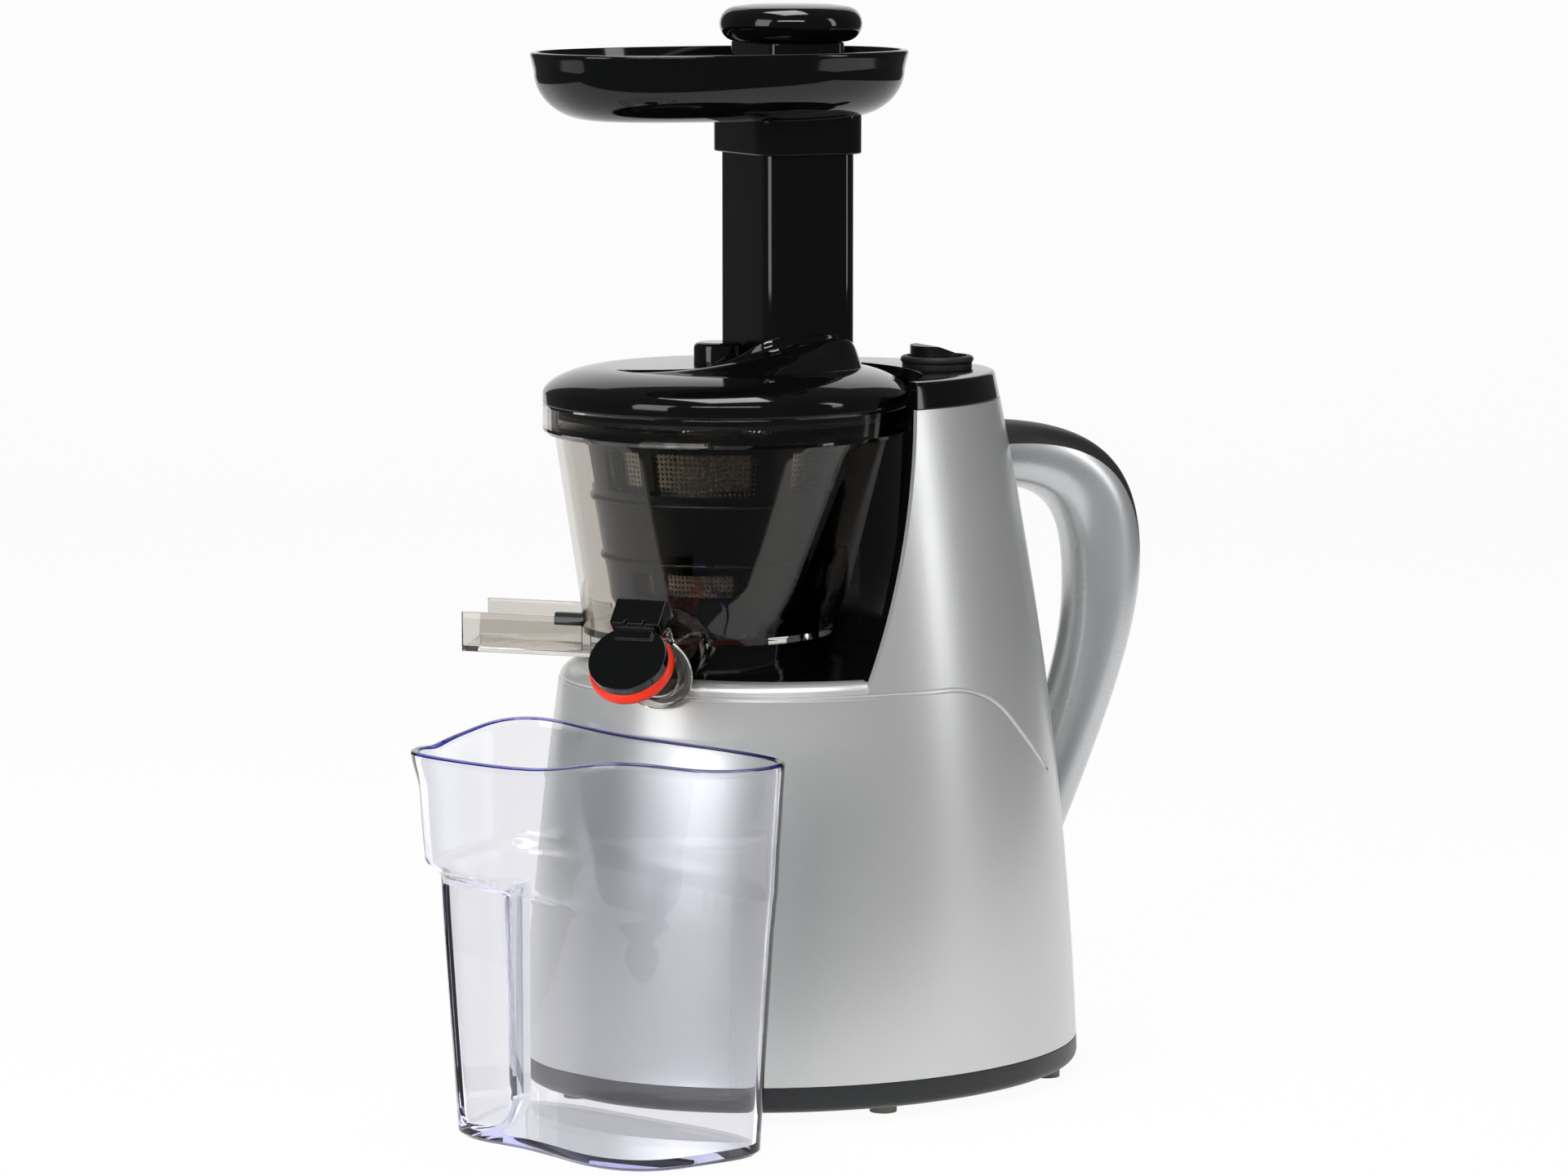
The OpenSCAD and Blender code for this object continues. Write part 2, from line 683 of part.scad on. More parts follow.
// ---------- gears ----------
// Involute gear outline with the given teeth; extra widens every tooth space.
function inv_angle(a) = tan(a) * 180 / PI - a;
press_a = 20;
backlash = 0.25;
function flank(rb, r) = let (a = acos(min(1, rb / r))) inv_angle(a);
function gear_points(teeth, m, add, ded, thin) = let (rp = m * teeth / 2, rb = rp * cos(press_a),
    half = 90 / teeth + inv_angle(press_a) - thin / rp * 90 / PI,
    r0 = max(rb, rp - ded), r1 = rp + add, steps = 4)
    [for (i = [0:teeth - 1]) let (c = 360 * i / teeth) each concat(
        [(rp - ded) * [cos(c - half - 0.4), sin(c - half - 0.4)]],
        [for (k = [0:steps]) let (r = mix(r0, r1, k / steps), a = c - half + flank(rb, r)) r * [cos(a), sin(a)]],
        [for (k = [steps:-1:0]) let (r = mix(r0, r1, k / steps), a = c + half - flank(rb, r)) r * [cos(a), sin(a)]],
        [(rp - ded) * [cos(c + half + 0.4), sin(c + half + 0.4)]])];
ring_teeth = auger_teeth + 2 * idler_teeth;
gear_gap = (auger_teeth + idler_teeth) * gear_module / 2;
idler_angle = 90;
pin_r = 2.5;
gear_z = z_floor + 0.6;
gear_h = 7;
module idler_place() {
    rotate([0, 0, idler_angle]) translate([gear_gap, 0, z_seat]) children();
}
// Turn that puts a tooth space of the idler against a tooth of the auger gear.
auger_phase = idler_angle;
idler_phase = idler_angle + 180 + 180 / idler_teeth;
ring_phase = idler_angle + (idler_teeth % 2 == 0 ? 180 / ring_teeth : 0);
module auger_gear() {
    color("white") translate([0, 0, gear_z]) {
        linear_extrude(gear_h) difference() {
            rotate(auger_phase) polygon(gear_points(auger_teeth, gear_module, gear_module,
                1.2 * gear_module, backlash / 2));
            hexagon(shaft_flats + slide);
        }
    }
}
module idler_gear() {
    color("ivory") idler_place() translate([0, 0, gear_z - z_seat]) difference() {
        linear_extrude(gear_h) rotate(idler_phase - idler_angle)
            polygon(gear_points(idler_teeth, gear_module, gear_module, 1.2 * gear_module, backlash / 2));
        translate([0, 0, -1]) cylinder(r = pin_r + fit, h = gear_h + 2, $fn = 48);
    }
}
module idler_pin() {
    color("lightgray") idler_place() {
        translate([0, 0, 0.4]) cylinder(r = pin_r, h = gear_z - z_seat + gear_h + 0.4, $fn = 48);
        translate([0, 0, gear_z - z_seat + gear_h + 0.4]) cylinder(r = pin_r + 1.5, h = 1);
    }
}

// ---------- strainer, brush and auger ----------
basket_z0 = z_seat + 13;
basket_z1 = z_ring + ring_step;
mesh_top_r = 45;
mesh_foot_r = 34.5;
mesh_t = 0.8;
function mesh_r(z) = mix(mesh_foot_r, mesh_top_r, (z - basket_z0) / (basket_z1 - basket_z0));
module cone_wall(z0, z1, grow, t) {
    rotate_extrude() polygon([[mesh_r(z0) + grow, z0], [mesh_r(z0) + grow + t, z0],
        [mesh_r(z1) + grow + t, z1], [mesh_r(z1) + grow, z1]]);
}
module cone_sector(z0, z1, grow, t, a0, a1) {
    rotate([0, 0, a0]) rotate_extrude(angle = a1 - a0) polygon([[mesh_r(z0) + grow, z0],
        [mesh_r(z0) + grow + t, z0], [mesh_r(z1) + grow + t, z1], [mesh_r(z1) + grow, z1]]);
}
frame_t = 1.6;
plate_h = 1.2;
// Rows of windows as shares of the height of the basket.
strainer_rows = [[0.06, 0.28], [0.36, 0.58], [0.66, 0.95]];
rib_a = 7;
ribs = 6;
module strainer_frame() {
    h = basket_z1 - basket_z0;
    color("#161616") difference() {
        union() {
            cone_wall(basket_z0 - 1, basket_z1 + 1, mesh_t, frame_t);
            translate([0, 0, basket_z0 - plate_h]) cylinder(r = mesh_foot_r + mesh_t + frame_t, h = plate_h);
            translate([0, ring_shift, basket_z1]) cylinder(r = neck_r - slide, h = 2);
        }
        for (row = strainer_rows, i = [0:ribs - 1])
            cone_sector(basket_z0 + row[0] * h, basket_z0 + row[1] * h, mesh_t - 1, frame_t + 2,
                i * 360 / ribs + rib_a / 2, (i + 1) * 360 / ribs - rib_a / 2);
        translate([0, 0, basket_z1 - 1]) cylinder(r = mesh_top_r, h = 4);
        translate([0, 0, basket_z0 - 3]) cylinder(r = 16.5, h = 4);
        outlet(-1) translate([18, -8, basket_z0 - 3]) cube([13, 16, 4]);
    }
}
module strainer_mesh() {
    color("lightgray") cone_wall(basket_z0, basket_z1, 0, mesh_t);
}
// Turning frame between strainer and bowl, with an internal gear at its foot.
brush_gap = mesh_t + frame_t + 1.2;
brush_t = 2;
brush_z0 = gear_z;
brush_z1 = basket_z1 - 1;
brush_foot_r = 37.9;
posts = 4;
post_a = 16;
module brush_frame() {
    h = brush_z1 - basket_z0;
    color("#131313") difference() {
        union() {
            rotate_extrude() polygon([[mesh_r(basket_z0) + brush_gap, basket_z0],
                [mesh_r(basket_z0) + brush_gap + brush_t, basket_z0],
                [mesh_r(brush_z1) + brush_gap + brush_t, brush_z1], [mesh_r(brush_z1) + brush_gap, brush_z1]]);
            for (s = [0.26, 0.62]) let (z = basket_z0 + s * h)
                translate([0, 0, z]) rotate_extrude()
                    polygon([[mesh_r(z) + brush_gap + 1, -1.2], [mesh_r(z) + brush_gap + brush_t + 1, -0.8],
                        [mesh_r(z) + brush_gap + brush_t + 1, 0.8], [mesh_r(z) + brush_gap + 1, 1.2]]);
            rotate_extrude() polygon([[brush_foot_r - 1.5, brush_z0 + gear_h - 1],
                [brush_foot_r, brush_z0 + gear_h - 1], [mesh_r(basket_z0) + brush_gap + brush_t, basket_z0],
                [mesh_r(basket_z0) + brush_gap + brush_t, basket_z0 + 1],
                [mesh_r(basket_z0) + brush_gap, basket_z0 + 1], [mesh_r(basket_z0) + brush_gap, basket_z0]]);
            translate([0, 0, brush_z0]) difference() {
                cylinder(r = brush_foot_r, h = gear_h);
                translate([0, 0, -1]) linear_extrude(gear_h + 2) rotate(ring_phase)
                    polygon(gear_points(ring_teeth, gear_module, 1.2 * gear_module, gear_module, -backlash / 2));
            }
        }
        for (i = [0:posts - 1]) let (a0 = i * 360 / posts + post_a / 2, a1 = (i + 1) * 360 / posts - post_a / 2) {
            cone_sector(basket_z0 + 0.68 * h, brush_z1 - 4, brush_gap - 3, brush_t + 6, a0, a1);
            cone_sector(basket_z0 + 3, basket_z0 + 0.2 * h, brush_gap - 3, brush_t + 6, a0 + 8, a1 - 8);
        }
    }
}
module brush_wipers() {
    color("#2a2a2a") for (i = [0:posts - 1]) {
        cone_sector(basket_z0 + 4, brush_z1 - 5, mesh_t + frame_t + 0.4, brush_gap - mesh_t - frame_t - 0.4,
            i * 360 / posts - 2, i * 360 / posts + 2);
    }
}
// Screw body: a core that widens to the foot and a flight that winds round it.
auger_z0 = basket_z0 + 1.4;
auger_z1 = basket_z1 - 2;
auger_foot_r = 32.5;
core_top_r = 13;
core_foot_r = 26;
auger_n = 36;
auger_m = 30;
flight_w = 0.22;
function flight(u) = let (d = abs(u - 0.5) * 2 / flight_w) d < 1 ? 1 : (d < 2.6 ? pow(cos((d - 1) / 1.6 * 90), 2) : 0);
function frac(x) = x - floor(x);
function auger_radius(a, s) = let (z = s * (auger_z1 - auger_z0),
    core = mix(core_foot_r, core_top_r, pow(s, 0.8)), rim = mix(auger_foot_r, auger_r, s),
    fade = min(1, (1 - s) / 0.12) * min(1, 0.25 + s / 0.15))
    core + (rim - core) * fade * flight(frac(a / 360 - z / auger_pitch + 0.3));
module auger_screw() {
    color("#e8e6df") difference() {
        union() {
            loft([for (j = [0:auger_m]) let (s = j / auger_m) [for (i = [0:auger_n - 1])
                let (a = 360 * i / auger_n, r = auger_radius(a, s))
                [r * cos(a), r * sin(a), mix(auger_z0, auger_z1, s)]]]);
            translate([0, 0, gear_z + gear_h]) cylinder(r = 14, h = auger_z0 - gear_z - gear_h + 1);
            translate([0, 0, auger_z1 - 1]) cylinder(r = journal_r + 4, h = z_lid - 6 - auger_z1);
            translate([0, 0, auger_z1]) cylinder(r = journal_r, h = z_lid + boss_h - boss_roof - seat - auger_z1);
        }
        translate([0, 0, gear_z]) linear_extrude(hex_z + hex_h + 2 - gear_z) hexagon(shaft_flats + slide);
    }
}
journal_r = 5;

// ---------- spout cap ----------
// The cap hangs on a cross pin above the mouth; at rest it stands open by cap_rest.
cap_rest = 65;
hinge_up = spout_rim_r + 1.5;
hinge_out = 1.5;
hinge_r = 1.4;
barrel_r = 3;
ear_t = 2;
cap_half_w = 7;
cap_disc_r = 14.4;
cap_disc_t = 3.2;
seal_t = 6;
plug_r = spout_r - spout_wall - 1.2;
module hinge_place() { spout_frame() translate([hinge_out, 0, hinge_up]) children(); }
module cap_frame() { hinge_place() rotate([0, -cap_rest, 0]) children(); }
module spout_ears() {
    for (s = [-1, 1]) hinge_place() translate([0, s * (cap_half_w + slide + ear_t / 2), 0]) difference() {
        hull() {
            rotate([90, 0, 0]) cylinder(r = 3, h = ear_t, center = true, $fn = 32);
            translate([-hinge_out - 1.5, 0, -4]) cube([3, ear_t, 2], center = true);
        }
        rotate([90, 0, 0]) cylinder(r = hinge_r, h = 10, center = true, $fn = 32);
    }
}
module spout_pin() {
    color("silver") hinge_place() rotate([90, 0, 0])
        cylinder(r = hinge_r, h = 2 * (cap_half_w + slide + ear_t) + 1, center = true, $fn = 32);
}
module spout_cap() {
    face = seal_t + seat - hinge_out;
    side = cap_half_w + slide + ear_t;
    color("black") cap_frame() difference() {
        union() {
            translate([face, 0, -hinge_up]) rotate([0, 90, 0]) cylinder(r = cap_disc_r, h = cap_disc_t);
            translate([face, -cap_half_w, -hinge_up + 8]) cube([cap_disc_t + 0.8, 2 * cap_half_w, hinge_up - 4]);
            rotate([90, 0, 0]) cylinder(r = barrel_r, h = 2 * cap_half_w, center = true, $fn = 48);
            translate([0, -cap_half_w, -1.2]) cube([face + 1, 2 * cap_half_w, 3.6]);
            translate([face, -side, -3.5]) cube([cap_disc_t + 3, 2 * side, 11]);
        }
        rotate([90, 0, 0]) cylinder(r = hinge_r + fit, h = 30, center = true, $fn = 32);
        for (y = [-3.5, 3.5]) translate([face + cap_disc_t + 1.5, y - 0.4, -4]) cube([3, 0.8, 2.2]);
    }
}
module spout_seal() {
    color("red") cap_frame() difference() {
        translate([-hinge_out + seat, 0, -hinge_up]) rotate([0, 90, 0]) {
            rotate_extrude() {
                square([spout_rim_r - 2.4, seal_t]);
                translate([spout_rim_r - 2.4, seal_t / 2]) circle(r = seal_t / 2, $fn = 48);
            }
            translate([0, 0, -2.5]) cylinder(r = plug_r, h = 3);
        }
        rotate([90, 0, 0]) cylinder(r = barrel_r + seat, h = 2 * (cap_half_w + slide + ear_t) + 1, center = true);
        translate([0, -cap_half_w - seat, -1.2 - seat]) cube([10, 2 * (cap_half_w + seat), 6]);
        for (s = [-1, 1]) translate([0, s * (cap_half_w + slide + ear_t / 2), -2.5])
            cube([12, ear_t + 2 * seat, 6], center = true);
    }
}

// ---------- lid ----------
lid_wall = 2.5;
flat_r = 43;
boss_r = 9.2;
boss_h = 9;
boss_roof = 1.2;
lid_edge = 4;
function lid_arc(inset) = [for (k = [0:10]) let (a = 90 * k / 10)
    [flat_r + (ring_r - inset - flat_r) * sin(a), lid_edge + (lid_h - lid_edge - inset) * pow(abs(cos(a)), 1.2)]];
module rounded(w, l, r) {
    hull() for (x = [-1, 1], y = [-1, 1]) translate([x * (w / 2 - r), y * (l / 2 - r)]) circle(r = r, $fn = 32);
}
tube_round = 6;
skirt_h = 3;
gasket_h = 1.5;
stop_w = 3;
stop_t = 3;
module tube_place(z) { translate([0, tube_shift, z]) children(); }
module lid_cover() {
    color("black") difference() {
        union() {
            translate([0, ring_shift, z_ring_top]) rotate_extrude() polygon(concat([[0, lid_h]],
                lid_arc(0), [[ring_r, 0], [ring_r - lid_wall, 0]],
                [for (i = [10:-1:0]) lid_arc(lid_wall)[i]], [[0, lid_h - lid_wall]]));
            translate([0, ring_shift, z_ring_top - skirt_h]) difference() {
                cylinder(r = neck_r - slide, h = skirt_h + 1);
                translate([0, 0, -1]) cylinder(r = neck_r - slide - lid_wall, h = skirt_h + 3);
            }
            translate([0, ring_shift, z_ring_top]) difference() {
                cylinder(r = ring_r - 1, h = 2);
                translate([0, 0, -1]) cylinder(r = neck_r - slide - lid_wall, h = 4);
            }
            translate([0, 0, z_lid - lid_wall - 2]) cylinder(r = boss_r, h = boss_h + lid_wall + 2);
            tube_place(z_lid - lid_wall) linear_extrude(tube_h + lid_wall) rounded(tube_wid, tube_len, tube_round);
        }
        tube_place(z_lid - lid_wall - 1) linear_extrude(tube_h + lid_wall + 2)
            rounded(tube_wid - 2 * tube_wall, tube_len - 2 * tube_wall, tube_round - tube_wall);
        translate([0, 0, z_lid - lid_wall - 3])
            cylinder(r = journal_r + fit, h = lid_wall + 3 + boss_h - boss_roof);
    }
    color("black") tube_stops();
}
// Bars in the tube that hold the pusher at its lowest.
module tube_stops() {
    for (s = [-1, 1]) tube_place(pusher_foot_z - stop_t)
        translate([s * (tube_wid / 2 - tube_wall - stop_w / 2 + 0.5), 0, stop_t / 2])
            cube([stop_w + 1, 16, stop_t], center = true);
}
module lid_gasket() {
    color("#303030") translate([0, ring_shift, z_ring_top - skirt_h - gasket_h]) difference() {
        cylinder(r = neck_r - slide, h = gasket_h);
        translate([0, 0, -1]) cylinder(r = neck_r - slide - lid_wall, h = gasket_h + 2);
    }
}

// ---------- hopper ----------
collar_h = 13;
collar_t = 2.6;
tray_floor = 2.5;
tray_rim = 2.2;
tray_shift = 1;
z_tray = z_tube;
tray_n = 48;
module tray_form(inset, z0, z1) {
    bend = 18;
    side_bend = 21;
    flare = 1.4;
    a = tray_wid / 2 - inset;
    b = tray_len / 2 - inset;
    loft(concat([for (k = [0:4]) let (t = 90 * k / 4, d = side_bend * (1 - sin(t)) + flare)
        oval(0, tray_shift, a - d, b - d, z0 + bend * (1 - cos(t)), tray_n, 2.3)],
        [oval(0, tray_shift, a, b, z1, tray_n, 2.3)]));
}
module hopper_tray() {
    color("black") difference() {
        union() {
            tray_form(0, z_tray, z_tray + tray_h);
            tube_place(z_tray - collar_h) linear_extrude(collar_h + 5)
                rounded(tube_wid + 2 * collar_t + 2 * slide, tube_len + 2 * collar_t + 2 * slide, tube_round + collar_t);
        }
        tray_form(tray_rim, z_tray + tray_floor, z_tray + tray_h + 0.01);
        tube_place(z_tray - collar_h - 1) linear_extrude(collar_h + 1)
            rounded(tube_wid + 2 * slide, tube_len + 2 * slide, tube_round);
        tube_place(z_tray - 5) linear_extrude(20)
            rounded(tube_wid - 2 * tube_wall, tube_len - 2 * tube_wall, tube_round - tube_wall);
    }
}
pusher_gap = 0.8;
knob_z = z_tray + tray_h + 3;
knob_h = 14;
pusher_foot_z = z_lid + 11.5;
pusher_len = knob_z - pusher_foot_z;
knob_shift = 1.4;
module pusher_body() {
    w = tube_wid - 2 * tube_wall - 2 * pusher_gap;
    l = tube_len - 2 * tube_wall - 2 * pusher_gap;
    color("#202020") tube_place(knob_z - pusher_len) difference() {
        linear_extrude(pusher_len) rounded(w, l, tube_round - tube_wall);
        translate([0, 0, 3]) linear_extrude(pusher_len) rounded(w - 4, l - 4, 2);
    }
}
module pusher_knob() {
    r = knob_d / 2;
    color("black") tube_place(knob_z) translate([0, knob_shift, 0]) rotate_extrude() polygon(concat([[0, 0], [r - 5, 0]],
        [for (a = [-80:10:80]) [r - 6.5 + 6.5 * cos(a), 6.5 + 6.5 * sin(a)]],
        [[r - 12, knob_h], [0, knob_h]]));
}

// ---------- jug ----------
// Four-sided jug, longer on the side towards the base. Its own x runs along that side.
jug_x = 72;
jug_gap = 11;
jug_y = body_shift - base_len / 2 - jug_gap;
jug_yaw = 24 + jug_turn;
jug_n = 52;
jug_near = 49;
jug_far = 65;
jug_half_w = 32.5;
jug_flare = 7.5;
jug_floor = 4;
grip_z = 95;
waist_d = 5;
rim_rise = 6;
function bell(p, c, w) = exp(-pow(norm(p - c) / w, 2));
// Outward growth at a height; end is 1 at the pouring end and 0 at the other.
function jug_grow(z, end) = jug_flare * z / jug_h + 1 + end * (z < grip_z ? -3.2 : 1.4) - (z < 1 ? 1.5 : 0);
function waist(x) = abs(x + 10) < 45 ? pow(cos(90 * (x + 10) / 45), 2) : 0;
function jug_point(t, z, inset) = let (v = power(sin(t), 4), c = power(cos(t), 4),
    lip = z > jug_h - 1 ? 2.2 * exp(-pow((t - 225) / 22, 2)) : 0,
    d = jug_grow(z, (1 - c) / 2) + lip - inset, x = (mix(jug_near, jug_far, (v + 1) / 2) + d) * c)
    [x, (jug_half_w + d) * v + (z < grip_z ? waist_d * max(0, -v) * waist(x) : 0)];
// Height of the waved rim: a crest at the front corner, one at the back and a dip behind the lip.
function rim_wave(q) = rim_rise * bell(q, [jug_near, -jug_half_w - 4], 28)
    + 3.5 * bell(q, [-60, 32], 24) - 2 * bell(q, [-57, -14], 9);
function jug_loop(z, inset, wave = 0) = [for (i = [0:jug_n - 1])
    let (q = jug_point(360 * i / jug_n, z, inset))
    [q[0], q[1], z + wave * rim_wave(q) - (abs(z - grip_z) < 4 ? 0.06 * q[0] : 0)]];
jug_levels = [jug_floor, grip_z - 3, grip_z + 3, jug_h - 16, jug_h];
module jug_wall_loft() {
    ring_loft(concat([jug_loop(0, 0), jug_loop(1, 0)],
        [for (z = jug_levels) jug_loop(z, 0, z == jug_h ? 1 : 0)],
        [for (k = [len(jug_levels) - 1:-1:0]) let (z = jug_levels[k])
            jug_loop(z, jug_wall, z == jug_h ? 1 : 0)], [jug_loop(0, jug_wall)]));
}
module jug_outer() {
    loft([for (z = [0, 1, grip_z - 3, grip_z + 3, jug_h - 20]) jug_loop(z, 0.01)]);
}
// Finger recess in the outer wall, with a round foot.
pocket_r = 15;
pocket_d = 12;
module jug_pockets(grow) {
    translate([-jug_near + pocket_r + 5.5, -jug_half_w, 0]) rotate([0, 0, 20])
        translate([0, -20 - grow, 0]) rotate([-90, 0, 0]) linear_extrude(pocket_d + 20 + 2 * grow)
            mirror([0, 1]) hull() {
                translate([0, 4 + pocket_r]) circle(r = pocket_r + grow, $fn = 40);
                translate([-pocket_r - grow, grip_z - 4]) square([2 * (pocket_r + grow), 2 + grow]);
            }
}
module jug_body() {
    color([0.85, 0.84, 0.95, 0.4]) translate([jug_x, jug_y, 0]) rotate([0, 0, jug_yaw]) difference() {
        union() {
            jug_wall_loft();
            loft([jug_loop(0, jug_wall / 2), jug_loop(jug_floor, jug_wall / 2)]);
            intersection() {
                jug_outer();
                jug_pockets(jug_wall);
            }
        }
        jug_pockets(0);
    }
}

base_pan();
rubber_feet();
base_screws();
housing_shell();
rear_cover();
handle_core();
handle_grip();
cradle_lining();
top_cap();
switch_boot();
switch_body();
rocker();
seat_plate();
seat_ring();
motor_can();
gearbox_case();
output_bearing();
mount_plate();
mount_pillars();
control_board();
cord_gland();
drive_shaft();
bowl_shell();
spout_pipe();
pulp_trough();
shaft_seal();
pulp_plug();
strainer_frame();
strainer_mesh();
brush_frame();
brush_wipers();
idler_gear();
idler_pin();
auger_screw();
auger_gear();
spout_cap();
spout_seal();
spout_pin();
lid_cover();
lid_gasket();
hopper_tray();
pusher_body();
pusher_knob();
jug_body();
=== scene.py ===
"""Looks of an upright slow juicer with a hopper tray, a smoky bowl and a clear jug.

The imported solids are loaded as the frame. Each sub-assembly is a class that builds its finer
meshes over the solids it stands for and gives every surface its finish. Sizes are in millimetres
and are turned into metres when a piece is placed.
"""

from __future__ import annotations

import logging
import math
from dataclasses import dataclass, field, replace
from enum import Enum
from functools import cache
from typing import Callable, Sequence

import bmesh
import bpy
from mathutils import Matrix, Vector

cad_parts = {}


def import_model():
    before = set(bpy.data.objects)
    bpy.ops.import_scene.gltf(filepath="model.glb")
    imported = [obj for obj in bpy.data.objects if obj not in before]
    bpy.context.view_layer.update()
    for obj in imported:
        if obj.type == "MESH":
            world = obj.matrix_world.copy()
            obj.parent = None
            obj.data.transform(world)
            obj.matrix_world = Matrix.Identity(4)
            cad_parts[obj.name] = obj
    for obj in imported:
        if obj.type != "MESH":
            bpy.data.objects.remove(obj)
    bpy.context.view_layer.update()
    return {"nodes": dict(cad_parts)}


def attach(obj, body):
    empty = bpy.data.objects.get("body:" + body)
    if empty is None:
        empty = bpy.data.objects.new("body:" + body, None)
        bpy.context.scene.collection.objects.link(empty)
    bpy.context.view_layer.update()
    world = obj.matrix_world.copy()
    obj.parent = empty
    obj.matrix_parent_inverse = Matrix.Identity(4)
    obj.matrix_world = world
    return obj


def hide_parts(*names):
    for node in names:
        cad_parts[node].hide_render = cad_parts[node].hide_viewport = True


LOG = logging.getLogger("juicer")
MM = 0.001
ROUND = math.tau
RIGHT_ANGLE = math.pi / 2

Object = bpy.types.Object
Socket = bpy.types.NodeSocket
Point = tuple[float, float, float]
Loop = list[Point]
Plan = list[tuple[float, float]]
Colour = tuple[float, float, float, float]
Given = dict[str, tuple[str, float | None]]
Inputs = dict[str | int, object]


class Operation(Enum):
    """Ways to combine two closed meshes."""

    CUT = "DIFFERENCE"
    JOIN = "UNION"
    KEEP = "INTERSECT"


class Side(Enum):
    """The two outlets of the bowl, by the side they leave on."""

    PULP = -1
    JUICE = 1


# ---------------------------------------------------------------------------
# Small mathematics
# ---------------------------------------------------------------------------


def circle(r: float, n: int, cx: float = 0.0, cy: float = 0.0) -> Plan:
    """n points all round a circle."""
    return [(cx + r * math.cos(ROUND * i / n), cy + r * math.sin(ROUND * i / n)) for i in range(n)]


def mix(a: float, b: float, t: float) -> float:
    """Value between a and b at share t."""
    return a + (b - a) * t


def power(value: float, exponent: float) -> float:
    """Signed power used by rounded ovals."""
    return math.copysign(abs(value) ** (2.0 / exponent), value)


def oval(cx: float, cy: float, a: float, b: float, z: float, n: int, e: float = 2.0) -> Loop:
    """Closed oval loop.

    Args:
        cx: Centre across.
        cy: Centre along.
        a: Half width.
        b: Half length.
        z: Height.
        n: Number of points.
        e: Squareness, 2 for an ellipse.

    Returns:
        The loop's points, counter-clockwise seen from above.
    """
    turn = ROUND / n
    return [
        (cx + a * power(math.cos(i * turn), e), cy + b * power(math.sin(i * turn), e), z)
        for i in range(n)
    ]


def bezier(p: Sequence[Vector], t: float) -> Vector:
    """Point of a cubic curve at t."""
    u = 1.0 - t
    return p[0] * u**3 + p[1] * (3 * t * u * u) + p[2] * (3 * t * t * u) + p[3] * t**3


def spread(a: float, b: float, n: int) -> list[float]:
    """n + 1 even steps from a to b, both included."""
    return [mix(a, b, k / n) for k in range(n + 1)]


def glide(values: Sequence[float], u: float) -> float:
    """Smooth value between the middle two of four set values."""
    a, b, c, d = values
    square, cube = 2 * a - 5 * b + 4 * c - d, 3 * b - a - 3 * c + d
    return 0.5 * (2 * b + (c - a) * u + square * u**2 + cube * u**3)


def glide_point(points: Sequence[tuple[float, float]], u: float) -> tuple[float, float]:
    """Smooth line through four points, at a share u between the middle two."""
    return glide([p[0] for p in points], u), glide([p[1] for p in points], u)


def turning(r: float, a0: float, a1: float, n: int, cx: float = 0.0, cy: float = 0.0) -> Plan:
    """n + 1 points of a circle's arc from angle a0 to a1."""
    return [(cx + r * math.cos(a), cy + r * math.sin(a)) for a in spread(a0, a1, n)]


def quarter(r: float, n: int) -> Plan:
    """Inset and rise along a quarter round of radius r, from its side to its top."""
    return [
        (r * (1 - math.cos(RIGHT_ANGLE * k / n)), r * math.sin(RIGHT_ANGLE * k / n))
        for k in range(n + 1)
    ]


def rounded_box(w: float, l: float, r: float, n: int = 12) -> Plan:
    """Outline of a rectangle with round corners, counter-clockwise."""
    out: Plan = []
    for k, (sx, sy) in enumerate(((1, 1), (-1, 1), (-1, -1), (1, -1))):
        start = RIGHT_ANGLE * k
        out += turning(r, start, start + RIGHT_ANGLE, n, sx * (w / 2 - r), sy * (l / 2 - r))
    return out


# ---------------------------------------------------------------------------
# Mesh making
# ---------------------------------------------------------------------------


def make_object(name: str, points: Sequence[Point], faces: Sequence[Sequence[int]]) -> Object:
    """Link a new mesh object with the given points and faces."""
    mesh = bpy.data.meshes.new(name)
    mesh.from_pydata([tuple(p) for p in points], [], [tuple(f) for f in faces])
    mesh.update()
    obj = bpy.data.objects.new(name, mesh)
    bpy.context.scene.collection.objects.link(obj)
    return obj


def tidy_normals(obj: Object, weld: float = 1e-4) -> Object:
    """Merge doubled points and turn every face outwards."""
    bm = bmesh.new()
    bm.from_mesh(obj.data)
    bmesh.ops.remove_doubles(bm, verts=bm.verts, dist=weld)
    bmesh.ops.recalc_face_normals(bm, faces=bm.faces)
    bm.to_mesh(obj.data)
    bm.free()
    return obj


def loft(name: str, loops: Sequence[Loop], wrap: bool = False) -> Object:
    """Closed mesh through a stack of loops with equal point counts.

    Args:
        name: Name of the object.
        loops: The loops in order.
        wrap: Join the last loop to the first instead of capping both ends.

    Returns:
        The new object.
    """
    n, m = len(loops[0]), len(loops)
    faces: list[list[int]] = []
    for j in range(m if wrap else m - 1):
        k = (j + 1) % m
        low, high = j * n, k * n
        faces += [[low + i, low + (i + 1) % n, high + (i + 1) % n, high + i] for i in range(n)]
    if not wrap:
        faces.append(list(range(n - 1, -1, -1)))
        faces.append([(m - 1) * n + i for i in range(n)])
    return tidy_normals(make_object(name, [p for loop in loops for p in loop], faces))


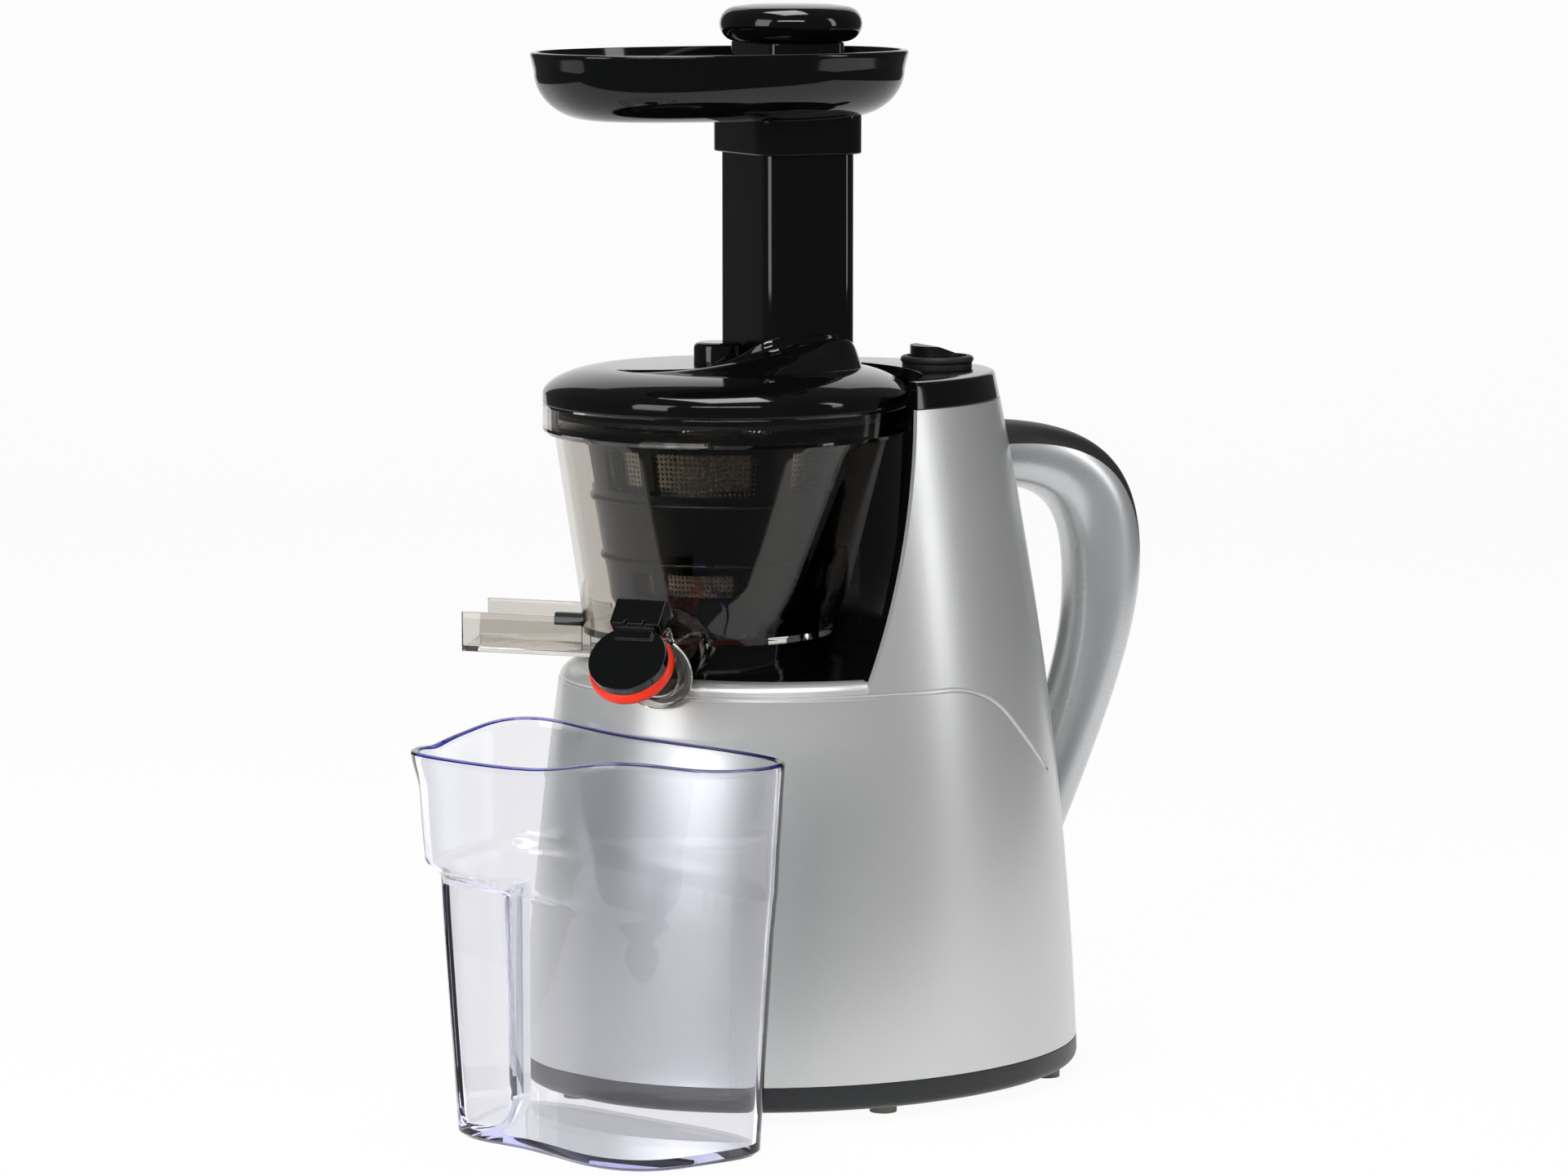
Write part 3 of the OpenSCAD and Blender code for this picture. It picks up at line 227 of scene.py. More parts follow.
def revolve(name: str, profile: Plan, centre: Point = (0, 0, 0), n: int = 160) -> Object:
    """Turn a closed profile of radius and height round the vertical; radius 0 closes a pole."""
    x, y, up = centre
    points: list[Point] = []
    rows: list[list[int]] = []
    for r, z in profile:
        start = len(points)
        if r < 1e-6:
            rows.append([start] * n)
            points.append((x, y, up + z))
        else:
            rows.append(list(range(start, start + n)))
            points += [(px, py, up + z) for px, py in circle(r, n, x, y)]
    faces: list[list[int]] = []
    for a, b in zip(rows, rows[1:] + rows[:1]):
        for i in range(n):
            k = (i + 1) % n
            corners = list(dict.fromkeys([a[i], a[k], b[k], b[i]]))
            if len(corners) > 2:
                faces.append(corners)
    return tidy_normals(make_object(name, points, faces))


def prism(name: str, outline: Plan, z0: float, z1: float) -> Object:
    """Straight extrusion of an outline from z0 to z1."""
    return loft(name, [[(x, y, z) for x, y in outline] for z in (z0, z1)])


def side_prism(name: str, outline: Plan, x0: float, x1: float) -> Object:
    """Extrusion across the object of an outline given as distance back and height."""
    return loft(name, [[(x, y, z) for y, z in outline] for x in (x0, x1)])


def back_prism(name: str, outline: Plan, y0: float, y1: float) -> Object:
    """Extrusion along the object of an outline given as distance across and height."""
    return loft(name, [[(x, y, z) for x, z in outline] for y in (y0, y1)])


def block(name: str, low: Point, high: Point) -> Object:
    """Box between two corners."""
    (x0, y0, z0), (x1, y1, z1) = low, high
    return prism(name, [(x0, y0), (x1, y0), (x1, y1), (x0, y1)], z0, z1)


def drum(
    name: str, r: float, z0: float, z1: float, centre: tuple[float, float] = (0, 0), n: int = 128
) -> Object:
    """Upright cylinder."""
    return loft(name, [oval(*centre, r, r, z, n) for z in (z0, z1)])


def hoop(name: str, radius: float, z: float, r: float) -> Object:
    """Round ring of thickness 2 r about the upright axis."""
    section = circle(r, 12, radius, z)
    loops = [[(q * c, q * d, up) for q, up in section] for c, d in circle(1.0, 160)]
    return loft(name, loops, wrap=True)


def tube_along(name: str, path: Sequence[Vector], r: float, n: int = 10) -> Object:
    """Closed round tube of radius r that follows a path."""
    loops: list[Loop] = []
    side = Vector((0, 0, 1))
    for k, p in enumerate(path):
        ahead = path[min(k + 1, len(path) - 1)] - path[max(k - 1, 0)]
        ahead.normalize()
        side = (side - ahead * side.dot(ahead)).normalized()
        other = ahead.cross(side)
        loops.append([tuple(p + side * u + other * v) for u, v in circle(r, n)])
    return loft(name, loops)


def replace_mesh(obj: Object) -> Object:
    """Bake the object's modifiers into a plain mesh and drop them."""
    graph = bpy.context.evaluated_depsgraph_get()
    graph.update()
    mesh = bpy.data.meshes.new_from_object(obj.evaluated_get(graph), depsgraph=graph)
    obj.modifiers.clear()
    old = obj.data
    obj.data = mesh
    bpy.data.meshes.remove(old)
    return obj


def combine(target: Object, operation: Operation, *tools: Object) -> Object:
    """Combine closed meshes with the target, one after another, and remove the tools.

    Args:
        target: The mesh that changes.
        operation: Cut, join or keep.
        tools: The other meshes.

    Returns:
        The target.
    """
    for tool in tools:
        mod = target.modifiers.new(operation.name, "BOOLEAN")
        mod.operation = operation.value
        mod.solver = "MANIFOLD"
        mod.object = tool
        replace_mesh(target)
        if not target.data.polygons:
            LOG.warning("%s: %s with %s left nothing", target.name, operation.name, tool.name)
        bpy.data.objects.remove(tool, do_unlink=True)
    return target


def turned(obj: Object, matrix: Matrix) -> Object:
    """Apply a matrix to the object's mesh."""
    obj.data.transform(matrix)
    return obj


def soften(obj: Object, width: float, angle: float = 32.0, segments: int = 3) -> Object:
    """Round the sharp edges of a simple mesh."""
    mod = obj.modifiers.new("edge", "BEVEL")
    mod.width = width
    mod.segments = segments
    mod.limit_method = "ANGLE"
    mod.angle_limit = math.radians(angle)
    mod.use_clamp_overlap = True
    return replace_mesh(obj)


def shade(obj: Object, angle: float = 30.0) -> Object:
    """Smooth shading with sharp edges above an angle."""
    obj.data.shade_smooth()
    obj.data.set_sharp_from_angle(angle=math.radians(angle))
    return obj


# ---------------------------------------------------------------------------
# Node trees and finishes
# ---------------------------------------------------------------------------


class Nodes:
    """Adds and links the nodes of one tree."""

    given: Sequence[Socket]
    result: bpy.types.Node

    def __init__(self, tree: bpy.types.NodeTree) -> None:
        """Work on a tree."""
        self.tree = tree

    @classmethod
    def group(cls, name: str, kind: str, inputs: Given, output: str, sort: str) -> Nodes:
        """New group with the named inputs, each a kind of socket and its value, and one output."""
        made = cls(bpy.data.node_groups.new(name, kind))
        sockets = made.tree.interface
        for label, (kind_in, value) in inputs.items():
            socket = sockets.new_socket(label, in_out="INPUT", socket_type=f"NodeSocket{kind_in}")
            if value is not None:
                socket.default_value = value
        sockets.new_socket(output, in_out="OUTPUT", socket_type=f"NodeSocket{sort}")
        made.given = made.add("NodeGroupInput").outputs
        made.result = made.add("NodeGroupOutput")
        return made

    def feed(self, node: bpy.types.Node, inputs: Inputs) -> None:
        """Give a node's inputs their values, or the sockets that drive them."""
        for key, value in inputs.items():
            if isinstance(value, Socket):
                self.tree.links.new(value, node.inputs[key])
            else:
                node.inputs[key].default_value = value

    def add(self, kind: str, inputs: Inputs | None = None, **settings: object) -> bpy.types.Node:
        """New node with its properties and inputs set."""
        node = self.tree.nodes.new(kind)
        for key, value in settings.items():
            setattr(node, key, value)
        self.feed(node, inputs or {})
        return node

    def math(self, operation: str, *values: float | Socket) -> Socket:
        """Result of a mathematics node; each value is a number or a socket."""
        return self.add("ShaderNodeMath", dict(enumerate(values)), operation=operation).outputs[0]


def shader_group(name: str, inputs: Given, output: str, sort: str = "Float") -> Nodes:
    """New shader group that also takes a place to be looked up at."""
    return Nodes.group(name, "ShaderNodeTree", {"Vector": ("Vector", None)} | inputs, output, sort)


def noise_of(g: Nodes, **settings: float) -> Socket:
    """Noise at a shader group's own place and scale."""
    place_and_scale = {key: g.given[key] for key in ("Vector", "Scale")}
    return g.add("ShaderNodeTexNoise", place_and_scale | settings).outputs["Fac"]


@cache
def smudge_group() -> bpy.types.NodeTree:
    """Roughness that wanders between a low and a high value, as on handled plastic."""
    inputs = {"Scale": ("Float", 18.0), "Low": ("Float", 0.1), "High": ("Float", 0.2)}
    g = shader_group("handling_smudges", inputs, "Roughness")
    ends = {"To Min": g.given["Low"], "To Max": g.given["High"], "From Min": 0.35, "From Max": 0.7}
    ranger = g.add("ShaderNodeMapRange", {"Value": noise_of(g, Detail=5.0, Roughness=0.62)} | ends)
    g.feed(g.result, {"Roughness": ranger.outputs["Result"]})
    return g.tree


@cache
def grain_group() -> bpy.types.NodeTree:
    """Fine moulded grain: a height for a bump."""
    g = shader_group("moulded_grain", {"Scale": ("Float", 900.0), "Depth": ("Float", 1.0)}, "Height")
    g.feed(g.result, {"Height": g.math("MULTIPLY", noise_of(g, Detail=3.0), g.given["Depth"])})
    return g.tree


@cache
def tone_group() -> bpy.types.NodeTree:
    """Colour with a slight speckle and cloud, such as pigment or metal flake."""
    inputs = {"Colour": ("Color", None), "Scale": ("Float", 400.0), "Amount": ("Float", 0.1)}
    g = shader_group("pigment_tone", inputs, "Colour", "Color")
    shift = g.math("SUBTRACT", noise_of(g, Detail=4.0), 0.5)
    value = g.math("MULTIPLY_ADD", shift, g.given["Amount"], 1.0)
    hsv = g.add("ShaderNodeHueSaturation", {"Value": value, "Color": g.given["Colour"]})
    g.feed(g.result, {"Colour": hsv.outputs["Color"]})
    return g.tree


def new_material(name: str) -> tuple[bpy.types.Material, Nodes, bpy.types.Node, bpy.types.Node]:
    """New material with its tree, its surface node and its output."""
    mat = bpy.data.materials.new(name)
    mat.use_nodes = True
    found = {node.type: node for node in mat.node_tree.nodes}
    return mat, Nodes(mat.node_tree), found["BSDF_PRINCIPLED"], found["OUTPUT_MATERIAL"]


SMUDGE_SCALE = 18.0
SOFT_DEPTH_M = 0.002
GRAIN_RISE_M = 0.0004


@dataclass(frozen=True)
class Finish:
    """One surface finish and the material made from it."""

    name: str
    colour: Colour
    low: float = 0.2
    high: float = 0.3
    metallic: float = 0.0
    coat: float = 0.0
    coat_roughness: float = 0.05
    clear: float = 0.0
    ior: float = 1.46
    speckle: float = 0.06
    speckle_scale: float = 300.0
    grain_scale: float = 900.0
    grain_depth: float = 0.0
    soft: float = 0.0
    edge: float = 0.0
    specular: float = 0.5
    absorb: Colour | None = None
    density: float = 0.0

    def material(self) -> bpy.types.Material:
        """The material of this finish, built on first use."""
        made = bpy.data.materials.get(self.name)
        if made:
            return made
        mat, n, surface, out = new_material(self.name)
        where = n.add("ShaderNodeTexCoord").outputs["Object"]
        look = {"Vector": where, "Colour": self.colour,
                "Scale": self.speckle_scale, "Amount": self.speckle}
        tone = n.add("ShaderNodeGroup", look, node_tree=tone_group())
        feel = {"Vector": where, "Scale": SMUDGE_SCALE, "Low": self.low, "High": self.high}
        smudge = n.add("ShaderNodeGroup", feel, node_tree=smudge_group())
        n.feed(surface, {
            "Base Color": tone.outputs["Colour"],
            "Roughness": smudge.outputs["Roughness"],
            "Metallic": self.metallic,
            "IOR": self.ior,
            "Specular IOR Level": self.specular,
            "Transmission Weight": self.clear,
            "Coat Weight": self.coat,
            "Coat Roughness": self.coat_roughness,
        })
        self._normal(n, surface, where)
        if self.soft:
            n.feed(surface, {"Subsurface Weight": self.soft, "Subsurface Scale": SOFT_DEPTH_M})
        if self.absorb:
            depth = n.add("ShaderNodeVolumeAbsorption", {"Color": self.absorb, "Density": self.density})
            n.feed(out, {"Volume": depth.outputs["Volume"]})
        return mat

    def _normal(self, n: Nodes, surface: bpy.types.Node, where: Socket) -> None:
        """Feed the normal from rounded edges and moulded grain."""
        last = {}
        if self.edge:
            rim = n.add("ShaderNodeBevel", {"Radius": self.edge * MM}, samples=6)
            last = {"Normal": rim.outputs["Normal"]}
        if self.grain_depth:
            fine = {"Vector": where, "Scale": self.grain_scale, "Depth": 1.0}
            grain = n.add("ShaderNodeGroup", fine, node_tree=grain_group())
            rise = {"Strength": self.grain_depth, "Distance": GRAIN_RISE_M}
            bump = n.add("ShaderNodeBump", {"Height": grain.outputs["Height"]} | rise | last)
            last = {"Normal": bump.outputs["Normal"]}
        n.feed(surface, last)

    def dress(self, obj: Object) -> Object:
        """Put this finish on every slot of an object."""
        obj.data.materials.clear()
        obj.data.materials.append(self.material())
        return obj


SILVER = Finish("satin_silver_paint", (0.63, 0.64, 0.63, 1), 0.29, 0.33, metallic=0.58, coat=0.25,
                coat_roughness=0.12, speckle=0.035, speckle_scale=700)
HANDLE_SILVER = Finish("handle_silver", (0.60, 0.61, 0.62, 1), 0.26, 0.32, metallic=0.6, coat=0.4,
                       coat_roughness=0.08, speckle=0.03, speckle_scale=700)
GRIP = Finish("grip_strip", (0.016, 0.016, 0.016, 1), 0.42, 0.55, speckle=0.2,
              grain_depth=0.25, grain_scale=1300)
GLOSS_BLACK = Finish("gloss_black", (0.0022, 0.0024, 0.0026, 1), 0.05, 0.09, ior=1.46,
                     speckle=0.1, edge=0.5)
BAND_BLACK = Finish("band_black", (0.014, 0.015, 0.016, 1), 0.34, 0.46, speckle=0.2,
                    grain_depth=0.2, grain_scale=1100)
SATIN_BLACK = Finish("satin_black", (0.006, 0.006, 0.0065, 1), 0.25, 0.36, specular=0.4,
                     speckle=0.2, grain_depth=0.1)
FRAME_BLACK = Finish("frame_black", (0.0028, 0.0028, 0.003, 1), 0.14, 0.22, specular=0.25,
                     speckle=0.1)
SMOKY = Finish("smoky_clear", (0.68, 0.652, 0.615, 1), 0.012, 0.035, clear=1.0, ior=1.42,
               specular=0.25, speckle=0.02)
CLEAR = Finish("clear_lilac", (0.945, 0.945, 0.952, 1), 0.008, 0.025, clear=1.0, ior=1.13, coat=0.7,
               coat_roughness=0.02, speckle=0.01, absorb=(0.32, 0.30, 0.84, 1), density=13.0)
# Painted rim light: the darker violet given to the jug's lip faces stands in for the violet that light
# takes running edge-on through the clear wall to the rim.
CLEAR_PAINTED_RIM_LIGHT = replace(CLEAR, name="clear_lilac_painted_rim_light", colour=(0.40, 0.38, 0.72, 1))
RED_SILICONE = Finish("red_silicone", (0.83, 0.030, 0.006, 1), 0.32, 0.44, speckle=0.08,
                      soft=0.1, grain_depth=0.06)
BLACK_SILICONE = Finish("black_silicone", (0.012, 0.012, 0.0125, 1), 0.45, 0.6, speckle=0.2,
                        grain_depth=0.15)
GREY_RUBBER = Finish("grey_rubber", (0.30, 0.27, 0.24, 1), 0.6, 0.75, speckle=0.25, grain_depth=0.3)
STEEL = Finish("turned_steel", (0.62, 0.62, 0.61, 1), 0.2, 0.32, metallic=1.0, speckle=0.08,
               speckle_scale=800)
SIEVE_STEEL = Finish("sieve_steel", (0.30, 0.26, 0.21, 1), 0.24, 0.36, metallic=1.0,
                     speckle=0.12, speckle_scale=500)
BRONZE = Finish("sintered_bronze", (0.42, 0.25, 0.10, 1), 0.35, 0.5, metallic=1.0, speckle=0.3,
                speckle_scale=900)
IVORY = Finish("hard_ivory_plastic", (0.70, 0.68, 0.62, 1), 0.28, 0.4, speckle=0.05, soft=0.05,
               grain_depth=0.05)
CAN_PAINT = Finish("motor_enamel", (0.10, 0.11, 0.13, 1), 0.35, 0.5, speckle=0.15)
CASE_GREY = Finish("grey_case_plastic", (0.11, 0.115, 0.12, 1), 0.4, 0.55, speckle=0.2,
                   grain_depth=0.2)
BOARD = Finish("board_green", (0.012, 0.09, 0.035, 1), 0.3, 0.45, speckle=0.3, speckle_scale=700)


def place(
    piece: Object, body: str, finish: Finish, nodes: Sequence[str] = (), angle: float = 30.0
) -> Object:
    """Turn a finished piece into metres, dress it and tie it to its body.

    Args:
        piece: The piece, in millimetres.
        body: Body that it rides on.
        finish: Its finish.
        nodes: Solids that it stands for.
        angle: Angle above which edges stay sharp.

    Returns:
        The piece.
    """
    turned(piece, Matrix.Scale(MM, 4))
    shade(piece, angle)
    finish.dress(piece)
    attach(piece, body)
    if nodes:
        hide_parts(*nodes)
    triangles = sum(len(p.vertices) - 2 for p in piece.data.polygons)
    LOG.info("%s: %d triangles on %s", piece.name, triangles, body)
    return piece


# ---------------------------------------------------------------------------
# Housing, handle and column
# ---------------------------------------------------------------------------

# Places of the floor's screws and rubber feet, across and back.
SCREW_SPOTS = ((58, 0), (-58, 0), (40, 92), (-40, 92))
FOOT_SPOTS = ((72, 33), (-72, 33), (44, 116), (-44, 116), (0, -58))


@dataclass
class Housing:
    """The oval housing with its shoulder, column, rear cover and loop handle."""

    base_len: float = 216.0
    base_wid: float = 175.0
    shift: float = 35.0
    foot_h: float = 4.0
    band_h: float = 10.0
    shoulder_rise: float = 156.0
    shoulder_r: float = 6.0
    column_rise: float = 97.0
    top_len: float = 148.0
    top_wid: float = 121.0
    bow: float = 0.7
    wall: float = 2.8
    cradle_r: float = 73.0
    lean: float = 15.0
    hollow: float = 4.0
    cap_h: float = 10.0
    seam_half_w: float = 31.0
    seam_spread: float = 15.0
    crease_r: float = 45.0
    crease_y: float = 57.0
    crease_run: float = 24.0
    groove_r: float = 1.05
    bush_z: float = 24.0
    bush_r: float = 5.05
    switch_y: float = 91.0
    switch_r: float = 12.5
    ring_shift: float = 3.0
    front: float = 26.0
    gap: float = 0.3
    handle_reach: float = 176.5
    handle_t: float = 29.0
    handle_w: float = 28.0
    round_n: int = 232
    z_band: float = field(init=False)
    z_shoulder: float = field(init=False)
    z_cap: float = field(init=False)
    z_top: float = field(init=False)

    def __post_init__(self) -> None:
        """Work out the heights."""
        self.z_band = self.foot_h + self.band_h
        self.z_shoulder = self.foot_h + self.shoulder_rise
        self.z_cap = self.z_shoulder + self.column_rise
        self.z_top = self.z_cap + self.cap_h

    def taper(self, z: float) -> float:
        """Share of the taper at a height."""
        s = (z - self.foot_h) / (self.z_top - self.foot_h)
        return (1 - self.bow) * s + self.bow * s * s

    def half(self, z: float) -> tuple[float, float]:
        """Half width and half length at a height."""
        t = self.taper(z)
        return mix(self.base_wid, self.top_wid, t) / 2, mix(self.base_len, self.top_len, t) / 2

    def ring(self, z: float, inset: float) -> Loop:
        """Loop of the housing at a height, moved in by inset."""
        a, b = self.half(z)
        return oval(0, self.shift, a - inset, b - inset, z, self.round_n)

    def plate_ring(self, z: float) -> Loop:
        """Loop of the edge of the shoulder plate."""
        a, b = self.half(self.z_shoulder)
        inset = self.shoulder_r + 2
        return oval(0, self.shift + 3, a - inset, b - inset - 3, z, self.round_n)

    def form(self, inset: float, z0: float, z1: float, n: int = 40) -> Object:
        """Solid form of the housing between two heights."""
        return loft("form", [self.ring(z, inset) for z in spread(z0, z1, n)])

    def shell(self, name: str) -> Object:
        """Hollow wall of the housing from the band to the cap."""
        outer = [self.ring(z, 0) for z in spread(self.z_band, self.z_cap, 84)]
        inner = [self.ring(z, self.wall) for z in spread(self.z_cap, self.z_band, 12)]
        return loft(name, outer + inner, wrap=True)

    def front_space(self, back: float = 0.0, z0: float = -50.0) -> Object:
        """Space in front of the hollow leaning column edge."""
        chord = self.column_rise / math.cos(math.radians(self.lean))
        r = chord**2 / (8 * self.hollow) + self.hollow / 2
        lean = math.radians(self.lean)
        mid_y = self.front + self.column_rise * math.tan(lean) / 2
        mid_z = self.z_shoulder + self.column_rise / 2
        cy = mid_y + (self.hollow - r) * math.cos(lean)
        cz = mid_z - (self.hollow - r) * math.sin(lean)
        a0 = math.atan2(self.z_shoulder - 16 - cz, self.front - cy)
        a1 = math.atan2(self.z_top + 16 - cz, self.front + 32 - cy)
        arc = turning(r + back, a0, a1, 90, cy, cz)
        low = max(z0, arc[0][1])
        arc = [(y, z) for y, z in arc if z > low + 0.01]
        y_low = arc[0][0]
        outline = [(-200.0, low), (y_low, low)] + arc + [(-200.0, arc[-1][1])]
        return side_prism("front_space", outline, -120, 120)

    def cradle(self, r: float, z0: float, z1: float) -> Object:
        """Round space that the bowl stands in."""
        return drum("cradle", r, z0, z1, (0, self.ring_shift), 256)

    def rear_window(self, grow: float) -> Object:
        """Strip of the rear between the two seams."""
        top_w, foot_w = self.seam_half_w + grow, self.seam_half_w + grow + self.seam_spread
        z0, z1 = self.z_band - 1, self.z_cap + 1
        outline = [(-foot_w, z0), (foot_w, z0), (top_w, z1), (-top_w, z1)]
        return back_prism("rear_window", outline, self.shift, self.shift + self.base_len)

    def crease_path(self) -> list[Vector]:
        """Line of the moulded crease: round the shoulder and down both flanks."""
        z0 = self.z_shoulder - self.shoulder_r + 1
        r, y0 = self.crease_r, self.crease_y
        side = [(y0 + r * math.sin(a), z0 - r * (1 - math.cos(a))) for a in spread(0, math.pi / 4, 24)]
        y1, z1 = side[-1]
        side += [(y1 + run, z1 - run) for run in spread(0, self.crease_run, 12)[1:]]
        path: list[Vector] = []

        def on_skin(y: float, z: float, sign: int) -> Vector:
            """Point of the skin at a distance back and height."""
            a, b = self.half(z)
            v = min(1.0, abs(y - self.shift) / b)
            return Vector((sign * a * math.sqrt(1 - v * v), y, z))

        for y, z in reversed(side):
            path.append(on_skin(y, z, -1))
        a, b = self.half(z0)
        start = math.asin((y0 - self.shift) / b)
        for t in spread(math.pi - start, ROUND + start, 150)[1:-1]:
            path.append(Vector((a * math.cos(t), self.shift + b * math.sin(t), z0)))
        for y, z in side:
            path.append(on_skin(y, z, 1))
        return path

    def build_shell(self) -> None:
        """Silver housing with shoulder rim, crease and notch for the spout."""
        skin = self.shell("housing_skin")
        room = self.front_space(z0=self.z_shoulder - self.shoulder_r)
        combine(skin, Operation.CUT, room)
        z0 = self.z_shoulder - self.shoulder_r
        loops = [self.ring(z0 + up, inset) for inset, up in quarter(self.shoulder_r, 10)]
        loops += [self.plate_ring(z) for z in (self.z_shoulder, self.z_shoulder - self.wall)]
        loops.append(self.ring(z0, self.wall))
        rim = loft("shoulder_rim", loops, wrap=True)
        combine(rim, Operation.KEEP, self.front_space(back=self.wall))
        combine(skin, Operation.JOIN, rim)
        combine(skin, Operation.CUT, self.rear_window(self.gap / 2))
        groove = tube_along("crease", self.crease_path(), self.groove_r, 14)
        combine(skin, Operation.CUT, groove, Bowl().spout_room())
        place(skin, "base", SILVER, ["housing_shell"], 24)

    def build_rear(self) -> None:
        """Rear cover between the seams, with the bush hole."""
        cover = self.shell("rear_skin")
        combine(cover, Operation.KEEP, self.rear_window(-self.gap / 2))
        middle = (0, self.shift + self.half(self.bush_z)[1], self.bush_z)
        hole = drum("hole", self.bush_r, -20, 20, n=48)
        turned(hole, Matrix.Translation(middle) @ Matrix.Rotation(RIGHT_ANGLE, 4, "X"))
        combine(cover, Operation.CUT, hole)
        place(cover, "base", SILVER, ["rear_cover"], 24)

    def build_cap(self) -> None:
        """Gloss black cap on top of the column."""
        edge, wall = 1.4, 2.5
        loops = [self.ring(self.z_cap, 0.35), self.ring(self.z_cap + 0.35, 0)]
        loops += [self.ring(z, 0) for z in spread(self.z_cap + 0.5, self.z_top - edge, 6)[1:]]
        loops += [self.ring(self.z_top - edge + up, inset) for inset, up in quarter(edge, 6)[1:]]
        cap = loft("cap_moulding", loops)
        room = self.cradle(self.cradle_r, self.z_cap - 1, self.z_top + 1)
        combine(cap, Operation.CUT, self.front_space(), room)
        hollow = self.form(wall, self.z_cap - 1, self.z_top - wall, 4)
        room = self.cradle(self.cradle_r + wall, self.z_cap - 2, self.z_top)
        combine(hollow, Operation.CUT, self.front_space(back=wall), room)
        well = drum("well", self.switch_r, self.z_cap, self.z_top + 1, (0, self.switch_y))
        combine(cap, Operation.CUT, hollow, well)
        place(cap, "base", GLOSS_BLACK, ["top_cap"])

    def build_lining(self) -> None:
        """Black lining of the cradle behind the bowl."""
        wall = 3.0
        lining = self.form(self.wall, self.z_shoulder, self.z_cap, 24)
        room = self.cradle(self.cradle_r, self.z_shoulder - 1, self.z_cap + 1)
        combine(lining, Operation.CUT, self.front_space(), room)
        core = block("core", (-120, -100, self.z_shoulder - 1), (120, 250, self.z_cap + 80))
        room = self.cradle(self.cradle_r + wall, self.z_shoulder - 2, self.z_cap + 90)
        combine(core, Operation.CUT, self.front_space(back=wall), room)
        combine(lining, Operation.CUT, core)
        place(lining, "base", GLOSS_BLACK, ["cradle_lining"])

    def handle_curves(self) -> tuple[Callable[[float], Vector], Callable[[float], Vector]]:
        """Outer and inner line of the handle."""
        top, root_t, root_y = self.z_cap - 11, 25.0, 105
        reach, inner = self.handle_reach, self.handle_reach - self.handle_t

        def line(points: Sequence[tuple[float, float]]) -> list[Vector]:
            """Control points in the middle plane, each by distance back and drop from the top."""
            return [Vector((0, y, top - drop)) for y, drop in points]

        outer = (
            line([(root_y, 0), (157, 0), (reach, 17), (reach, 55)]),
            line([(reach, 55), (reach, 84), (reach - 17, 122), (reach - 40, 172)]),
        )
        inside = (
            line([(root_y, root_t), (139, root_t), (inner, 34), (inner, 66)]),
            line([(inner, 66), (inner, 88), (inner - 6, 112), (inner - 34, 172)]),
        )

        def follow(pair: tuple[list[Vector], list[Vector]]) -> Callable[[float], Vector]:
            """Curve through both halves."""
            return lambda t: bezier(pair[0], 2 * t) if t < 0.5 else bezier(pair[1], 2 * t - 1)

        return follow(outer), follow(inside)

    def handle_skin(self, name: str, grip: bool) -> Object:
        """One of the two parts of the handle, with a fine groove between them."""
        outer, inner = self.handle_curves()
        exponent = 2.4
        loops: list[Loop] = []
        for t in spread(1.0, 0.0, 90):
            share = mix(0.3, 0.84, min(1.0, t / 0.5))
            c = math.asin(share ** (exponent / 2))
            start, end, count = (c, math.pi - c, 20) if grip else (math.pi - c, ROUND + c, 34)
            o, i = outer(t), inner(t)
            ring: Loop = []
            for a in spread(start, end, count):
                s = power(math.sin(a), exponent)
                p = i.lerp(o, (s + 1) / 2)
                ring.append((self.handle_w / 2 * power(math.cos(a), exponent), p.y, p.z))
            loops.append(ring)
        return loft(name, loops)

    def build_handle(self) -> None:
        """Silver handle frame and its dark outer strip."""
        for name, node, grip, finish in (
            ("handle_frame", "handle_core", False, HANDLE_SILVER),
            ("handle_strip", "handle_grip", True, GRIP),
        ):
            part = self.handle_skin(name, grip)
            combine(part, Operation.CUT, self.form(0.0, 40, self.z_cap, 40))
            place(part, "base", finish, [node], 40)

    def build_band(self) -> None:
        """Dark band and floor of the base."""
        f = self.foot_h
        edge = [(0, 4), (0.4, 2.8), (1, 1.6), (1.7, 0.9), (2.4, 0.4), (4, 0)]
        edge += [(self.band_h - 0.4, 0), (self.band_h, 0.4)]
        band = loft("base_band", [self.ring(f + up, inset) for up, inset in edge])
        hollow = loft("hollow", [self.ring(f + 3, 6), self.ring(self.z_band + 1, 3)])
        combine(band, Operation.CUT, hollow)
        for spot in SCREW_SPOTS:
            combine(band, Operation.JOIN, drum("boss", 6, f + 2.9, f + 9.9, spot, 32))
        for spot in SCREW_SPOTS:
            combine(band, Operation.CUT, drum("hole", 2.3, f - 1, f + 19, spot, 24))
            combine(band, Operation.CUT, drum("sink", 3.8, f - 1, f + 3, spot, 32))
        for spot in FOOT_SPOTS:
            combine(band, Operation.CUT, drum("hole", 3.05, f - 1, f + 2, spot, 32))
        for i in range(-4, 5):
            slot = block("slot", (i * 7 - 1.2, 54, f - 1), (i * 7 + 1.2, 88, f + 4))
            combine(band, Operation.CUT, slot)
        place(band, "base", BAND_BLACK, ["base_pan"])

    def build(self) -> None:
        """Build every piece of the housing."""
        self.build_shell()
        self.build_rear()
        self.build_cap()
        self.build_lining()
        self.build_handle()
        self.build_band()


# ---------------------------------------------------------------------------
# Bowl
# ---------------------------------------------------------------------------


